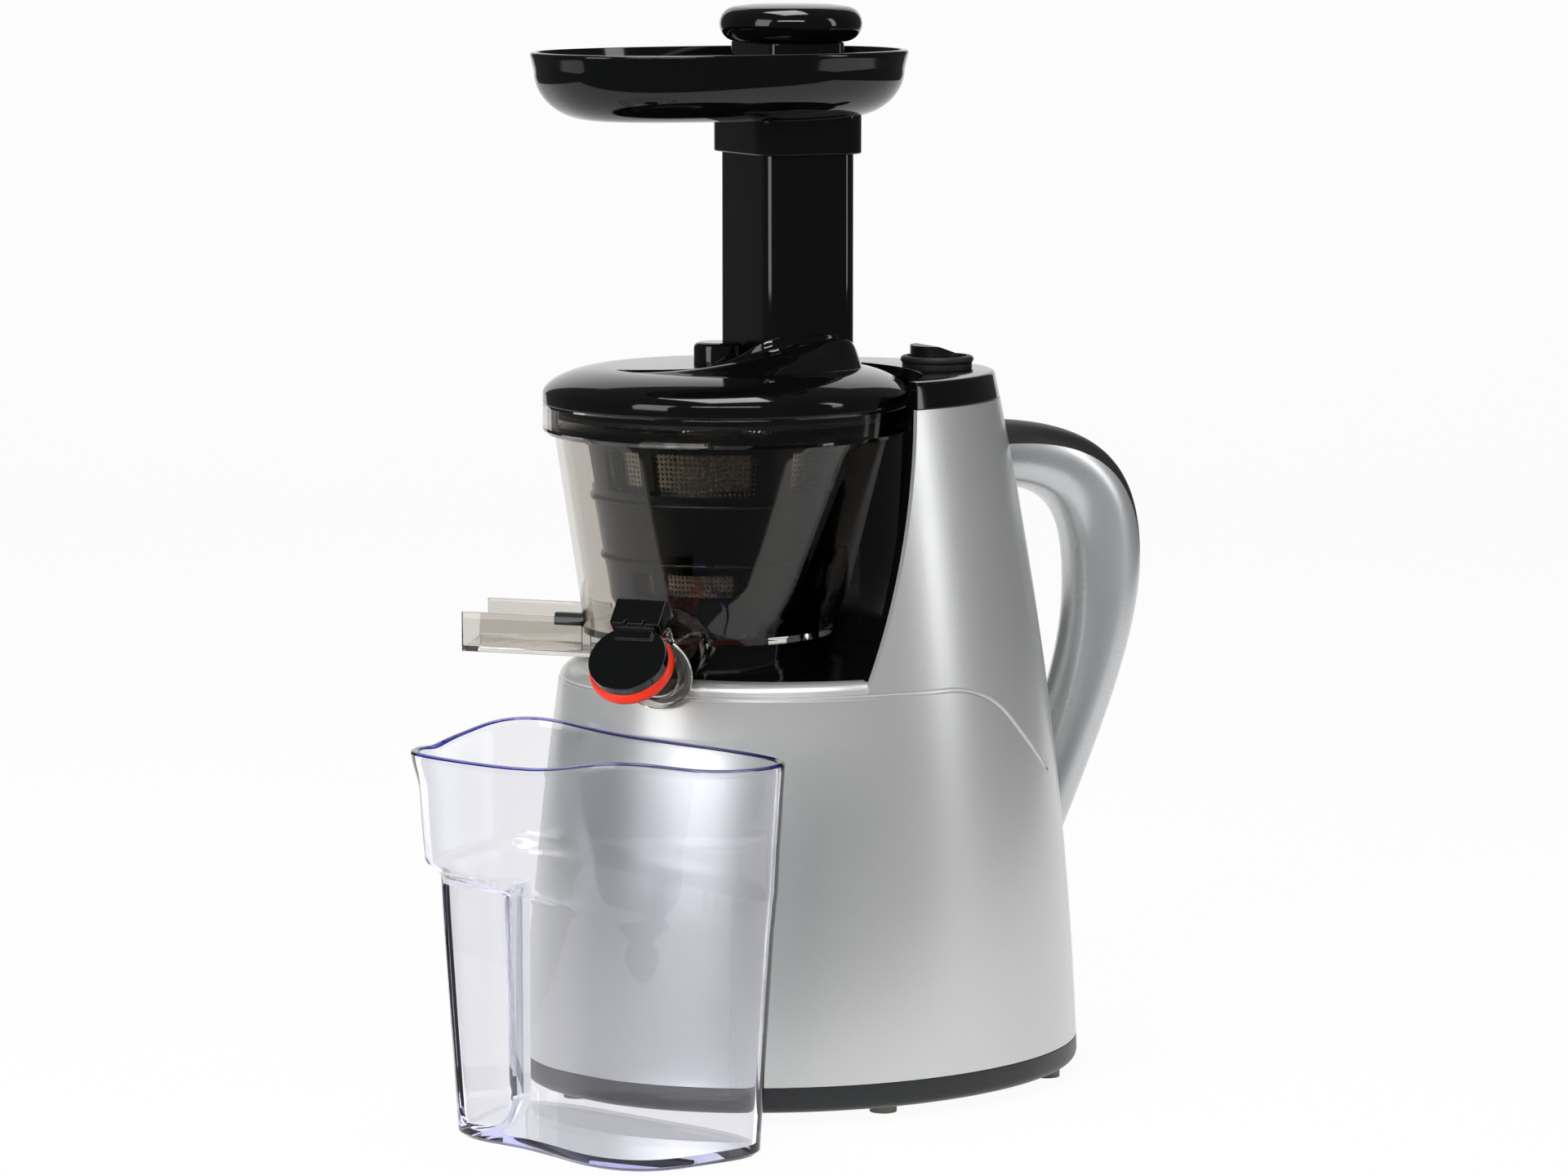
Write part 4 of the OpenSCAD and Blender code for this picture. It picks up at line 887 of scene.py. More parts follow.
@dataclass
class Bowl:
    """The smoky bowl with its ring, spout, pulp duct and trough."""

    ring_r: float = 68.0
    ring_shift: float = 3.0
    wall: float = 2.5
    foot_r: float = 46.0
    z_seat: float = 172.0
    z_ring: float = 246.0
    z_ring_top: float = 257.0
    step: float = 1.5
    spout_reach: float = 71.0
    spout_fall: float = 20.0
    spout_r: float = 12.0
    spout_rim_r: float = 15.0
    spout_root: float = 29.0
    cap_half_w: float = 7.0
    barrel_r: float = 3.0
    mouth_z: float = 165.0
    chute_reach: float = 98.0
    chute_w: float = 28.0
    chute_h: float = 15.0
    chute_z: float = 161.0
    duct_w: float = 22.0
    idler_y: float = 22.1
    n: int = 200

    @property
    def neck_r(self) -> float:
        """Radius of the wall where it meets the ring."""
        return self.ring_r - 5.5

    def outlet(self, side: Side) -> Matrix:
        """Frame whose x runs out along an outlet."""
        return Matrix.Rotation(math.radians(side.value * 45 - 90), 4, "Z")

    def spout_frame(self) -> Matrix:
        """Frame at the spout mouth, x down the spout."""
        return (
            self.outlet(Side.JUICE)
            @ Matrix.Translation((self.spout_reach, 0, self.mouth_z))
            @ Matrix.Rotation(math.radians(self.spout_fall), 4, "Y")
        )

    def along_spout(self, name: str, profile: Plan, n: int = 96) -> Object:
        """Turned piece on the spout axis; the profile is radius and distance along it."""
        lying = self.spout_frame() @ Matrix.Rotation(RIGHT_ANGLE, 4, "Y")
        return turned(revolve(name, profile, n=n), lying)

    def spout_room(self) -> Object:
        """Space for the spout in the shoulder, open upwards."""
        r, top = self.spout_r + 2.4, 40.0
        outline = turning(r, -math.pi, 0, 40) + [(r, top), (-r, top)]
        return turned(side_prism("spout_room", outline, -self.spout_root - 10, 20.0), self.spout_frame())

    def form(self, inset: float, z0: float, z1: float) -> Object:
        """Tapered form of the bowl."""
        foot = (self.z_seat, -4.6, self.foot_r)
        bend = (self.z_seat + 16, -2.0, 50.3)
        neck = (self.z_ring + 1, self.ring_shift / 2, self.neck_r)

        def at(z: float) -> tuple[float, float]:
            """Centre and radius at a height, with the corner eased."""
            cy = r = 0.0
            taps, apart = 9, 1.2
            for k in range(taps):
                q = min(max(z + (k - taps // 2) * apart, foot[0]), neck[0])
                lo, hi = (foot, bend) if q < bend[0] else (bend, neck)
                s = (q - lo[0]) / (hi[0] - lo[0])
                cy += mix(lo[1], hi[1], s) / taps
                r += mix(lo[2], hi[2], s) / taps
            return cy, r

        rows = [(z, *at(z)) for z in spread(z0, z1, 40)]
        return loft("bowl_form", [oval(0, cy, r - inset, r - inset, z, self.n) for z, cy, r in rows])

    def build(self) -> None:
        """Bowl, ring, spout, pulp duct and trough as one clear moulding."""
        bowl = self.form(0, self.z_seat, self.z_ring + 1)
        bowl.name = "bowl_clear"
        r, z, top, root = self.ring_r, self.z_ring, self.z_ring_top, self.spout_root
        edge = [(0, z), (r - self.step, z), (r, z + self.step), (r, top - 0.6), (r - 0.6, top), (0, top)]
        ring = revolve("ring", edge, (0, self.ring_shift, 0), 240)
        cone = [(0, -root), (self.spout_r + 2, -root), (self.spout_r, -1), (0, -1)]
        rr = self.spout_rim_r
        lip = [(0, -3), (rr - 0.8, -3), (rr, -2.2), (rr, -0.8), (rr - 0.8, 0), (0, 0)]
        spout, rim = self.along_spout("spout", cone), self.along_spout("rim", lip)
        half, floor, out = self.duct_w / 2, self.z_seat + 2.5, self.outlet(Side.PULP)
        duct = turned(block("duct", (14, -half - 2, self.chute_z), (50, half + 2, floor - 0.5)), out)
        hub = drum("hub", 14, self.z_seat - 5, self.z_seat + 1, n=64)
        combine(bowl, Operation.JOIN, ring, spout, rim, duct, hub, *self.ears())
        ledge, notch_w = z + self.step, self.cap_half_w + 0.4
        notch = drum("notch", self.barrel_r + 0.3, -notch_w, notch_w, n=64)
        turned(notch, self.hinge() @ Matrix.Rotation(RIGHT_ANGLE, 4, "X"))
        bore_r = self.spout_r - 2
        bore = [(0, -root + 2), (bore_r, -root + 2), (bore_r, 10), (0, 10)]
        combine(bowl, Operation.CUT, self.form(self.wall, floor, z + 1.02), notch,
                drum("ledge", self.neck_r, ledge, top + 5, (0, self.ring_shift), 240),
                drum("throat", self.neck_r - self.wall, z, ledge + 1, (0, self.ring_shift / 2), 240),
                self.along_spout("bore", bore))
        combine(bowl, Operation.CUT,
                turned(block("way", (16, -half, self.chute_z + 2), (56, half, self.z_seat)), out),
                turned(block("slot", (16, -half, self.z_seat - 1), (30, half, self.z_seat + 9)), out),
                drum("seal_hole", 11.5, self.z_seat - 6, self.z_seat + 6, n=64),
                drum("pin_hole", 2.5, self.z_seat - 20, self.z_seat + 20, (0, self.idler_y), 32))
        trough = soften(self.trough(), 0.5)
        turned(trough, out)
        combine(bowl, Operation.JOIN, trough)
        place(bowl, "bowl", SMOKY, ["bowl_shell", "spout_pipe", "pulp_trough"])

    def trough(self) -> Object:
        """Open pulp trough with a higher far wall, in the frame of its outlet."""
        w, z0, end, t = self.chute_w / 2, self.chute_z, self.chute_reach, 2
        z1 = z0 + self.chute_h
        solid = block("trough", (46, -w, z0), (end, w, z1))
        combine(solid, Operation.JOIN, block("far_wall", (50, -w, z0), (end, -w + t, z1 + 2)))
        gut = block("gut", (45, -w + t, z0 + t), (end + 9, w - t, z1 + 5))
        return combine(solid, Operation.CUT, gut)

    def hinge(self) -> Matrix:
        """Frame of the cap's hinge."""
        return self.spout_frame() @ Matrix.Translation((1.5, 0, self.spout_rim_r + 1.5))

    def ears(self) -> list[Object]:
        """Two ears above the mouth that hold the cap's pin."""
        out: list[Object] = []
        outline = turning(3, -0.2, math.pi, 20) + [(-4.5, -5.0), (-1.5, -5.0)]
        for sign in (-1, 1):
            y = sign * (self.cap_half_w + 1.4)
            ear = back_prism("ear", outline, y - 1, y + 1)
            lying = Matrix.Translation((0, y, 0)) @ Matrix.Rotation(RIGHT_ANGLE, 4, "X")
            hole = turned(drum("hole", 1.4, -4, 4, n=32), lying)
            out.append(turned(combine(ear, Operation.CUT, hole), self.hinge()))
        return out


# ---------------------------------------------------------------------------
# Strainer sleeve and screw
# ---------------------------------------------------------------------------


@dataclass
class PressingSet:
    """Perforated sleeve and screw inside the bowl."""

    z0: float = 185.0
    z1: float = 247.5
    foot_r: float = 34.5
    top_r: float = 45.0
    sheet_t: float = 0.48
    holes_round: int = 150
    hole_rows: int = 34
    hole_share: float = 0.52
    screw_foot: float = 182.2
    screw_top: float = 278.0
    socket_flats: float = 14.0
    socket_foot: float = 175.1
    socket_top: float = 215.0

    def sleeve_tree(self) -> bpy.types.NodeTree:
        """Tree that makes a cone of sheet metal with a hole in every cell."""
        numbers = {
            "Around": ("Int", self.holes_round),
            "Rows": ("Int", self.hole_rows),
            "Foot radius": ("Float", self.foot_r),
            "Top radius": ("Float", self.top_r),
            "Height": ("Float", self.z1 - self.z0),
            "Start": ("Float", self.z0),
            "Hole share": ("Float", self.hole_share),
        }
        g = Nodes.group("perforated_cone", "GeometryNodeTree", numbers, "Geometry", "Geometry")
        i = g.given
        counts = {"Vertices X": g.math("ADD", i["Around"], 1), "Vertices Y": g.math("ADD", i["Rows"], 1)}
        grid = g.add("GeometryNodeMeshGrid", {"Size X": 1.0, "Size Y": 1.0} | counts)
        cells = g.add("GeometryNodeTriangulate", {"Mesh": grid.outputs["Mesh"]})
        dual = g.add("GeometryNodeDualMesh", {"Mesh": cells.outputs["Mesh"], "Keep Boundaries": True})
        still = {"Mesh": dual.outputs["Dual Mesh"], "Offset Scale": 0.0, "Individual": True}
        pull = g.add("GeometryNodeExtrudeMesh", still, mode="FACES")
        holes = {"Selection": pull.outputs["Top"]}
        less = {"Geometry": pull.outputs["Mesh"], "Scale": i["Hole share"]}
        small = g.add("GeometryNodeScaleElements", less | holes, domain="FACE")
        faces = {"Geometry": small.outputs["Geometry"]} | holes
        drop = g.add("GeometryNodeDeleteGeometry", faces, domain="FACE")
        where = g.add("GeometryNodeInputPosition").outputs["Position"]
        parts = g.add("ShaderNodeSeparateXYZ", {"Vector": where}).outputs
        angle = g.math("MULTIPLY", g.math("ADD", parts["X"], 0.5), ROUND)
        up = g.math("ADD", parts["Y"], 0.5)
        widening = g.math("SUBTRACT", i["Top radius"], i["Foot radius"])
        reach = g.math("MULTIPLY_ADD", up, widening, i["Foot radius"])
        cone = g.add("ShaderNodeCombineXYZ", {
            "X": g.math("MULTIPLY", reach, g.math("COSINE", angle)),
            "Y": g.math("MULTIPLY", reach, g.math("SINE", angle)),
            "Z": g.math("MULTIPLY_ADD", up, i["Height"], i["Start"]),
        })
        moved = {"Geometry": drop.outputs["Geometry"], "Position": cone.outputs["Vector"]}
        bend = g.add("GeometryNodeSetPosition", moved)
        seam = {"Geometry": bend.outputs["Geometry"], "Distance": 0.01}
        weld = g.add("GeometryNodeMergeByDistance", seam)
        real = g.add("GeometryNodeRealizeInstances", {"Geometry": weld.outputs["Geometry"]})
        steel = {"Geometry": real.outputs["Geometry"], "Material": SIEVE_STEEL.material()}
        paint = g.add("GeometryNodeSetMaterial", steel)
        g.feed(g.result, {0: paint.outputs["Geometry"]})
        return g.tree

    def build_sleeve(self) -> None:
        """Steel sleeve with real holes."""
        sleeve = make_object("perforated_sleeve", [], [])
        sleeve.modifiers.new("grow", "NODES").node_group = self.sleeve_tree()
        replace_mesh(sleeve)
        sheet = sleeve.modifiers.new("sheet", "SOLIDIFY")
        sheet.thickness = self.sheet_t
        sheet.offset = 1.0
        replace_mesh(sleeve)
        place(sleeve, "bowl", SIEVE_STEEL, ["strainer_mesh"], 25)

    def build_ribs(self) -> None:
        """Bright round edges of the two ribs of the brush frame."""
        h = self.z1 - 1 - self.z0
        for k, share in enumerate((0.26, 0.62)):
            z = self.z0 + share * h
            rib_r = mix(self.foot_r, self.top_r, share * h / (self.z1 - self.z0)) + 6.2
            rib = hoop(f"rib_edge_{k}", rib_r, z, 0.75)
            place(rib, "brush", GLOSS_BLACK)

    def screw_radius(self, angle: float, s: float) -> float:
        """Radius of the screw at an angle and a share of its height."""
        pitch, crest, slope = 44.0, 0.22, 1.6
        z = s * (self.z1 - 2 - self.z0 - 1.4)
        core = mix(26.0, 13.0, s**0.8)
        rim = mix(32.5, 41.0, s)
        fade = min(1.0, (1 - s) / 0.12) * min(1.0, 0.25 + s / 0.15)
        u = angle / ROUND - z / pitch + 0.3
        u -= math.floor(u)
        past = abs(u - 0.5) * 2 / crest - 1
        if past < 0:
            flight = 1.0
        elif past < slope:
            flight = math.cos(past / slope * RIGHT_ANGLE) ** 2
        else:
            flight = 0.0
        return core + (rim - core) * fade * flight

    def build_screw(self) -> None:
        """Ivory screw with its running flight."""
        z0, z1 = self.z0 + 1.5, self.z1 - 2
        columns, rows = 180, 110
        turns = [ROUND * i / columns for i in range(columns)]

        def row(share: float) -> Loop:
            """Loop of the screw at a share of its height."""
            z = mix(z0, z1, share)
            radii = [self.screw_radius(a, share) for a in turns]
            return [(r * math.cos(a), r * math.sin(a), z) for r, a in zip(radii, turns)]

        screw = loft("screw_flight", [row(share) for share in spread(0, 1, rows)])
        neck = drum("neck", 14, self.screw_foot, z0 + 1, n=64)
        collar = drum("collar", 9, z1 - 1, z1 + 18, n=64)
        journal = drum("journal", 5, z1 + 19, self.screw_top, n=64)
        combine(screw, Operation.JOIN, neck, collar, journal)
        hexagon = circle(self.socket_flats / math.sqrt(3), 6)
        combine(screw, Operation.CUT, prism("socket", hexagon, self.socket_foot, self.socket_top))
        place(screw, "auger", IVORY, ["auger_screw"], 40)

    def build(self) -> None:
        """Build sleeve and screw."""
        self.build_sleeve()
        self.build_screw()
        self.build_ribs()


# ---------------------------------------------------------------------------
# Lid, hopper and pusher
# ---------------------------------------------------------------------------


@dataclass
class Lid:
    """Domed lid with boss, running ramps and the feed tube."""

    z: float = 257.0
    h: float = 13.5
    boss_h: float = 9.0
    ring_r: float = 68.0
    shift: float = 3.0
    wall: float = 2.5
    flat_r: float = 43.0
    edge: float = 4.0
    tube_h: float = 91.5
    tube_w: float = 45.0
    tube_l: float = 37.0
    tube_y: float = 28.4
    tube_wall: float = 2.5
    tube_round: float = 6.0
    skirt_in: float = 5.9
    boss_r: float = 9.2
    bore_r: float = 5.05
    stop_x: float = 19.0

    def arc(self, inset: float, n: int = 28) -> Plan:
        """Dome line from the flat top to the edge."""
        reach, drop = self.ring_r - inset - self.flat_r, self.h - self.edge - inset
        turns = [(math.sin(a), abs(math.cos(a)) ** 1.2) for a in spread(0, RIGHT_ANGLE, n)]
        return [(self.flat_r + reach * out, self.edge + drop * up) for out, up in turns]

    def tube(self, grow: float, z0: float, z1: float) -> Object:
        """Column with the tube's section, grown or shrunk."""
        w, l = self.tube_w + 2 * grow, self.tube_l + 2 * grow
        outline = rounded_box(w, l, max(1.5, self.tube_round + grow))
        return prism("tube", [(x, y + self.tube_y) for x, y in outline], z0, z1)

    def build(self) -> None:
        """Build the lid as one gloss black moulding."""
        wall, r, centre = self.wall, self.ring_r, (0, self.shift, self.z)
        zl = self.z + self.h
        zb = zl + self.boss_h
        outer = [(0.0, self.h)] + self.arc(0) + [(r, 0.5), (r - 0.5, 0.0), (r - wall, 0.0)]
        inner = list(reversed(self.arc(wall))) + [(0.0, self.h - wall)]
        lid = revolve("lid_moulding", outer + inner, centre, 240)
        rim, root = r - self.skirt_in, r - self.skirt_in - wall
        step = [(rim, -3), (rim, 1.0), (r - 1, 1.0), (r - 1, 2), (root, 2), (root, -3)]
        skirt = revolve("skirt", step, centre, 240)
        foot, br = zl - 4.5, self.boss_r
        dome = [(0, foot), (br, foot), (br, zb - 2.2), (br - 0.3, zb - 1.1)]
        dome += [(br - 1, zb - 0.4), (br - 2.2, zb), (0, zb)]
        boss = revolve("boss", dome, n=96)
        top = zl + self.tube_h
        combine(lid, Operation.CUT, self.valley(zl))
        column = soften(self.tube(0, zl - wall, top), 0.7, 60, 3)
        combine(lid, Operation.JOIN, skirt, boss, column, self.ramp(zl))
        shaft = self.tube(-self.tube_wall, zl - wall - 1, top + 1)
        combine(lid, Operation.CUT, shaft, drum("bore", self.bore_r, zl - wall - 3, zb - 1.2, n=64))
        for x in (-self.stop_x, self.stop_x):
            low, high = (x - 2, self.tube_y - 8, zl + 8.5), (x + 2, self.tube_y + 8, zl + 11.5)
            combine(lid, Operation.JOIN, block("stop", low, high))
        place(lid, "lid", GLOSS_BLACK, ["lid_cover"], 17)

    def section(self, t: float) -> tuple[float, Plan]:
        """Angle and profile of the ramp at a share t of its run, smoothly between the set sections."""
        place_at = t * (len(RAMP) - 1)
        first = min(int(place_at), len(RAMP) - 2)
        keys = [RAMP[min(max(first + k, 0), len(RAMP) - 1)] for k in (-1, 0, 1, 2)]
        u = place_at - first
        angle = glide([key[0] for key in keys], u)
        return angle, [glide_point([key[1][i] for key in keys], u) for i in range(7)]

    def swept(self, name: str, share: float, outline: Callable[[Plan], Plan], zl: float) -> Object:
        """Solid swept round the lid with the outline that is made from each profile of the ramp."""
        loops: list[Loop] = []
        for t in spread(0, share, 90):
            angle, profile = self.section(t)
            c, d = math.cos(math.radians(angle)), math.sin(math.radians(angle))
            loops.append([(r * c, self.shift + r * d, zl + h) for r, h in outline(profile)])
        return loft(name, loops)

    def ramp(self, zl: float) -> Object:
        """Ridge that curls from the flat top up into the foot of the tube."""
        def outline(profile: Plan) -> Plan:
            """Smooth line over the profile's points, closed under the top."""
            ends = [profile[0]] + profile + [profile[-1]]
            starts = range(len(profile) - 1)
            top = [glide_point(ends[i:i + 4], u) for i in starts for u in spread(0, 1, 6)[:-1]]
            return top + [profile[-1], (profile[-1][0], -2.2), (profile[0][0], -2.2)]

        return self.swept("ramp", 1.0, outline, zl)

    def valley(self, zl: float) -> Object:
        """Shallow room in the flat top under the low part of the ramp."""
        def outline(profile: Plan) -> Plan:
            """Room from the profile's first rise out to the edge of the flat top."""
            near = profile[1][0]
            far = max(self.flat_r + 1, near + 1)
            return [(near, -1.5), (near, 3.0), (far, 3.0), (far, -1.5)]

        return self.swept("valley", 0.58, outline, zl)


# Sections of the lid's ramp, by angle: distance from the lid's axis and height over its flat top.
RAMP = (
    (-92, ((41, -0.9), (42.5, -0.5), (43, -0.6), (43.4, -0.7), (43.8, -0.8), (44.2, -1.0), (45, -1.4))),
    (-80, ((26, -0.9), (29, 0.0), (32, -0.9), (36, -1.3), (40.5, -0.5), (42.5, -0.5), (46, -1.4))),
    (-66, ((14, -0.9), (17.5, 0.2), (22, -0.9), (31, -1.2), (38.5, 0.2), (42, -0.3), (46, -1.4))),
    (-40, ((11, -0.9), (15, 1.8), (19, 0.4), (28, -0.2), (36, 2.2), (41, 0.6), (46, -1.4))),
    (-5, ((10, -0.9), (15, 4.8), (18.5, 3.4), (25, 2.6), (33.6, 5.8), (40.5, 2.6), (46, -1.4))),
    (17, ((14, -0.9), (22, 10.5), (24.5, 7.6), (28, 5.6), (34.5, 7.8), (41, 4.6), (46.5, -1.4))),
    (37, ((20, 0.0), (27.8, 11.0), (29.6, 9.2), (32, 8.4), (37, 9.6), (42.5, 6.0), (47.5, -1.4))),
    (56, ((30, 0.0), (39.8, 11.2), (41.3, 10.4), (43, 10.0), (45.6, 10.0), (48, 5.5), (50.5, -1.6))),
    (70, ((38, -0.9), (45.6, 6.5), (46.6, 5.6), (47.4, 5.0), (48.6, 4.4), (49.8, 1.5), (51, -1.8))),
    (80, ((38, -1.6), (45, -1.5), (46, -1.5), (47, -1.6), (48, -1.7), (49, -1.8), (50, -2.0))),
)


@dataclass
class Hopper:
    """Oval tray with its collar, and the pusher that stands in it."""

    tray_len: float = 144.0
    tray_wid: float = 96.0
    tray_h: float = 25.0
    shift: float = 1.0
    z: float = 362.0
    rim: float = 2.2
    floor: float = 2.5
    knob_d: float = 53.0
    n: int = 220

    def form(self, inset: float, z0: float, z1: float, lip: float = 0.0) -> list[Loop]:
        """Loops of the tray from its floor to its rim."""
        bend, side_bend, flare = 18.0, 21.0, 1.4
        a, b = self.tray_wid / 2 - inset, self.tray_len / 2 - inset

        def row(inner: float, z: float, share: float = 1.0) -> Loop:
            """Oval at height z, set in from the outer face."""
            return oval(0, self.shift, (a - inner) * share, (b - inner) * share, z, self.n, 2.3)

        loops = [row(side_bend + flare, z0, share) for share in (0.35, 0.7)]
        for t in spread(0, RIGHT_ANGLE, 14):
            loops.append(row(side_bend * (1 - math.sin(t)) + flare, z0 + bend * (1 - math.cos(t))))
        loops += [row(flare * (1 - s), mix(z0 + bend, z1 - lip, s)) for s in spread(0, 1, 6)[1:]]
        if lip:
            loops += [row(inner, z1 - lip + up) for inner, up in quarter(lip, 5)[1:]]
        return loops

    def build_tray(self) -> None:
        """Gloss black tray with its collar."""
        lid = Lid()
        top = self.z + self.tray_h
        tray = loft("tray_moulding", self.form(0, self.z, top, 1.0))
        collar = lid.tube(3.0, self.z - 13, self.z + 5)
        combine(tray, Operation.JOIN, soften(collar, 0.6, 60, 3))
        gut = loft("gut", self.form(self.rim, self.z + self.floor, top + 0.02))
        socket = lid.tube(0.4, self.z - 14, self.z)
        shaft = lid.tube(-lid.tube_wall, self.z - 5, self.z + 15)
        combine(tray, Operation.CUT, gut, socket, shaft)
        place(tray, "hopper", GLOSS_BLACK, ["hopper_tray"])

    def build_pusher(self) -> None:
        """Pusher body and its round knob."""
        lid = Lid()
        knob_z, foot_z = self.z + self.tray_h + 3, 282.0
        w, l = lid.tube_w - 2 * lid.tube_wall - 1.6, lid.tube_l - 2 * lid.tube_wall - 1.6
        outline = [(x, y + lid.tube_y) for x, y in rounded_box(w, l, 3.5)]
        body = soften(prism("pusher_stem", outline, foot_z, knob_z), 0.6, 60, 3)
        inner = [(x, y + lid.tube_y) for x, y in rounded_box(w - 4, l - 4, 2.0)]
        combine(body, Operation.CUT, prism("gut", inner, foot_z + 3, knob_z + 1))
        place(body, "pusher", GLOSS_BLACK, ["pusher_body"])
        r, edge = self.knob_d / 2, 6.5
        profile = [(0.0, 0.0), (r - edge, 0.0)]
        profile += turning(edge, math.radians(-85), math.radians(80), 26, r - edge, edge)
        profile += [(r - 9, 13.4), (r - 12, 13.8), (0.0, 14.0)]
        knob = revolve("knob_moulding", profile, (0, lid.tube_y + 1.4, knob_z), 160)
        place(knob, "pusher", GLOSS_BLACK, ["pusher_knob"], 50)

    def build(self) -> None:
        """Build tray and pusher."""
        self.build_tray()
        self.build_pusher()


# ---------------------------------------------------------------------------
# Jug
# ---------------------------------------------------------------------------


@dataclass
class Jug:
    """Clear four-sided jug with a waved rim, a waisted front and a finger recess."""

    x: float = 72.0
    y: float = -84.0
    yaw: float = 24.0
    near: float = 49.0
    far: float = 65.0
    half_w: float = 32.5
    flare: float = 7.5
    h: float = 141.0
    wall: float = 2.4
    floor: float = 4.0
    grip_z: float = 95.0
    waist_d: float = 5.0
    rise: float = 6.0
    pocket_r: float = 15.0
    pocket_d: float = 12.0
    n: int = 256

    @staticmethod
    def step(value: float) -> float:
        """Smooth step from 0 to 1."""
        t = min(1.0, max(0.0, value))
        return t * t * (3 - 2 * t)

    def point(self, t: float, z: float, inset: float, grip: float) -> tuple[float, float]:
        """Plan point of the wall.

        Args:
            t: Angle round the jug.
            z: Height that the flare is taken at.
            inset: Distance inwards from the outer face.
            grip: 0 below the ledge and 1 above it.

        Returns:
            The point across and along.
        """
        v, c = power(math.sin(t), 4), power(math.cos(t), 4)
        lip = 2.2 * math.exp(-(((math.degrees(t) - 225) / 22) ** 2)) * self.step((z - self.h + 16) / 16)
        grow = self.flare * z / self.h + 1 + (1 - c) / 2 * mix(-3.2, 1.4, grip) + lip
        foot = 1.5 * (1 - self.step(z / 1.6)) if z < 1.6 else 0.0
        d = grow - foot - inset
        x = (mix(self.near, self.far, (v + 1) / 2) + d) * c
        waist = math.cos(RIGHT_ANGLE * (x + 10) / 45) ** 2 if abs(x + 10) < 45 else 0.0
        return x, (self.half_w + d) * v + (1 - grip) * self.waist_d * max(0.0, -v) * waist

    def wave(self, q: Vector) -> float:
        """Change of the rim's height at a plan point."""
        bells = (
            (self.rise, Vector((self.near, -self.half_w - 4)), 28.0),
            (3.5, Vector((-60.0, 32.0)), 24.0),
            (-2.0, Vector((-57.0, -14.0)), 9.0),
        )
        away = [(size, (q - centre).length / width) for size, centre, width in bells]
        return sum(size * math.exp(-(far**2)) for size, far in away)

    def ring(self, z: float, inset: float) -> Loop:
        """Loop of the jug wall."""
        out: Loop = []
        grip = self.step((z - self.grip_z + 3) / 6)
        near_ledge = 1.0 - self.step((abs(z - self.grip_z) - 4) / 12)
        lift = self.step((z - 112) / (self.h - 112)) if z > 112 else 0.0
        for i in range(self.n):
            q = Vector(self.point(ROUND * i / self.n, z, inset, grip))
            out.append((q.x, q.y, z + lift * self.wave(q) - near_ledge * 0.06 * q.x))
        return out

    def frame(self) -> Matrix:
        """Place of the jug on the table."""
        return Matrix.Translation((self.x, self.y, 0)) @ Matrix.Rotation(math.radians(self.yaw), 4, "Z")

    def pocket(self, grow: float) -> Object:
        """Finger recess with a round foot."""
        r = self.pocket_r + grow
        foot = 4 + self.pocket_r
        outline = turning(r, math.pi, ROUND, 48, 0, foot)
        outline += [(r, self.grip_z - 2 + grow), (-r, self.grip_z - 2 + grow)]
        cutter = back_prism("pocket", outline, -20 - grow, self.pocket_d + grow)
        place_at = Matrix.Translation((-self.near + self.pocket_r + 5.5, -self.half_w, 0))
        return turned(cutter, place_at @ Matrix.Rotation(math.radians(20), 4, "Z"))

    def build(self) -> None:
        """Build the jug as one clear moulding."""
        g = self.grip_z
        foot = [0.0, 0.4, 0.8, 1.2, 1.6]
        zs = spread(self.floor, g - 4, 26) + spread(g - 4, g + 4, 10)[1:]
        zs += spread(g + 4, self.h - 1, 14)[1:]
        outer = [self.ring(z, 0) for z in foot + zs]
        lip_rows = ((self.h - 0.3, 0.3), (self.h, 1.2), (self.h - 0.3, self.wall - 0.3))
        lip = [self.ring(z, inset) for z, inset in lip_rows]
        inner = [self.ring(z, self.wall) for z in reversed(zs)]
        jug = loft("jug_clear", outer + lip + inner)
        recess = self.pocket(self.wall)
        heights = [0.02] + foot[1:] + [z for z in zs if z < self.h - 20]
        combine(recess, Operation.KEEP, loft("bulk", [self.ring(z, 0.05) for z in heights]))
        combine(jug, Operation.JOIN, recess)
        pocket = soften(self.pocket(0), 1.6, 60, 4)
        combine(jug, Operation.CUT, pocket)
        # The faces along the rim get the painted violet rim light, a colour standing in for light that
        # runs edge-on through the clear wall.
        lip_z = self.h - 1.3
        painted_rim_light_faces = [p.index for p in jug.data.polygons if p.center.z - self.wave(p.center.xy) > lip_z]
        turned(jug, self.frame())
        place(jug, "jug", CLEAR, ["jug_body"])
        jug.data.materials.append(CLEAR_PAINTED_RIM_LIGHT.material())
        for k in painted_rim_light_faces:
            jug.data.polygons[k].material_index = 1


# ---------------------------------------------------------------------------
# Solids that keep their shape
# ---------------------------------------------------------------------------

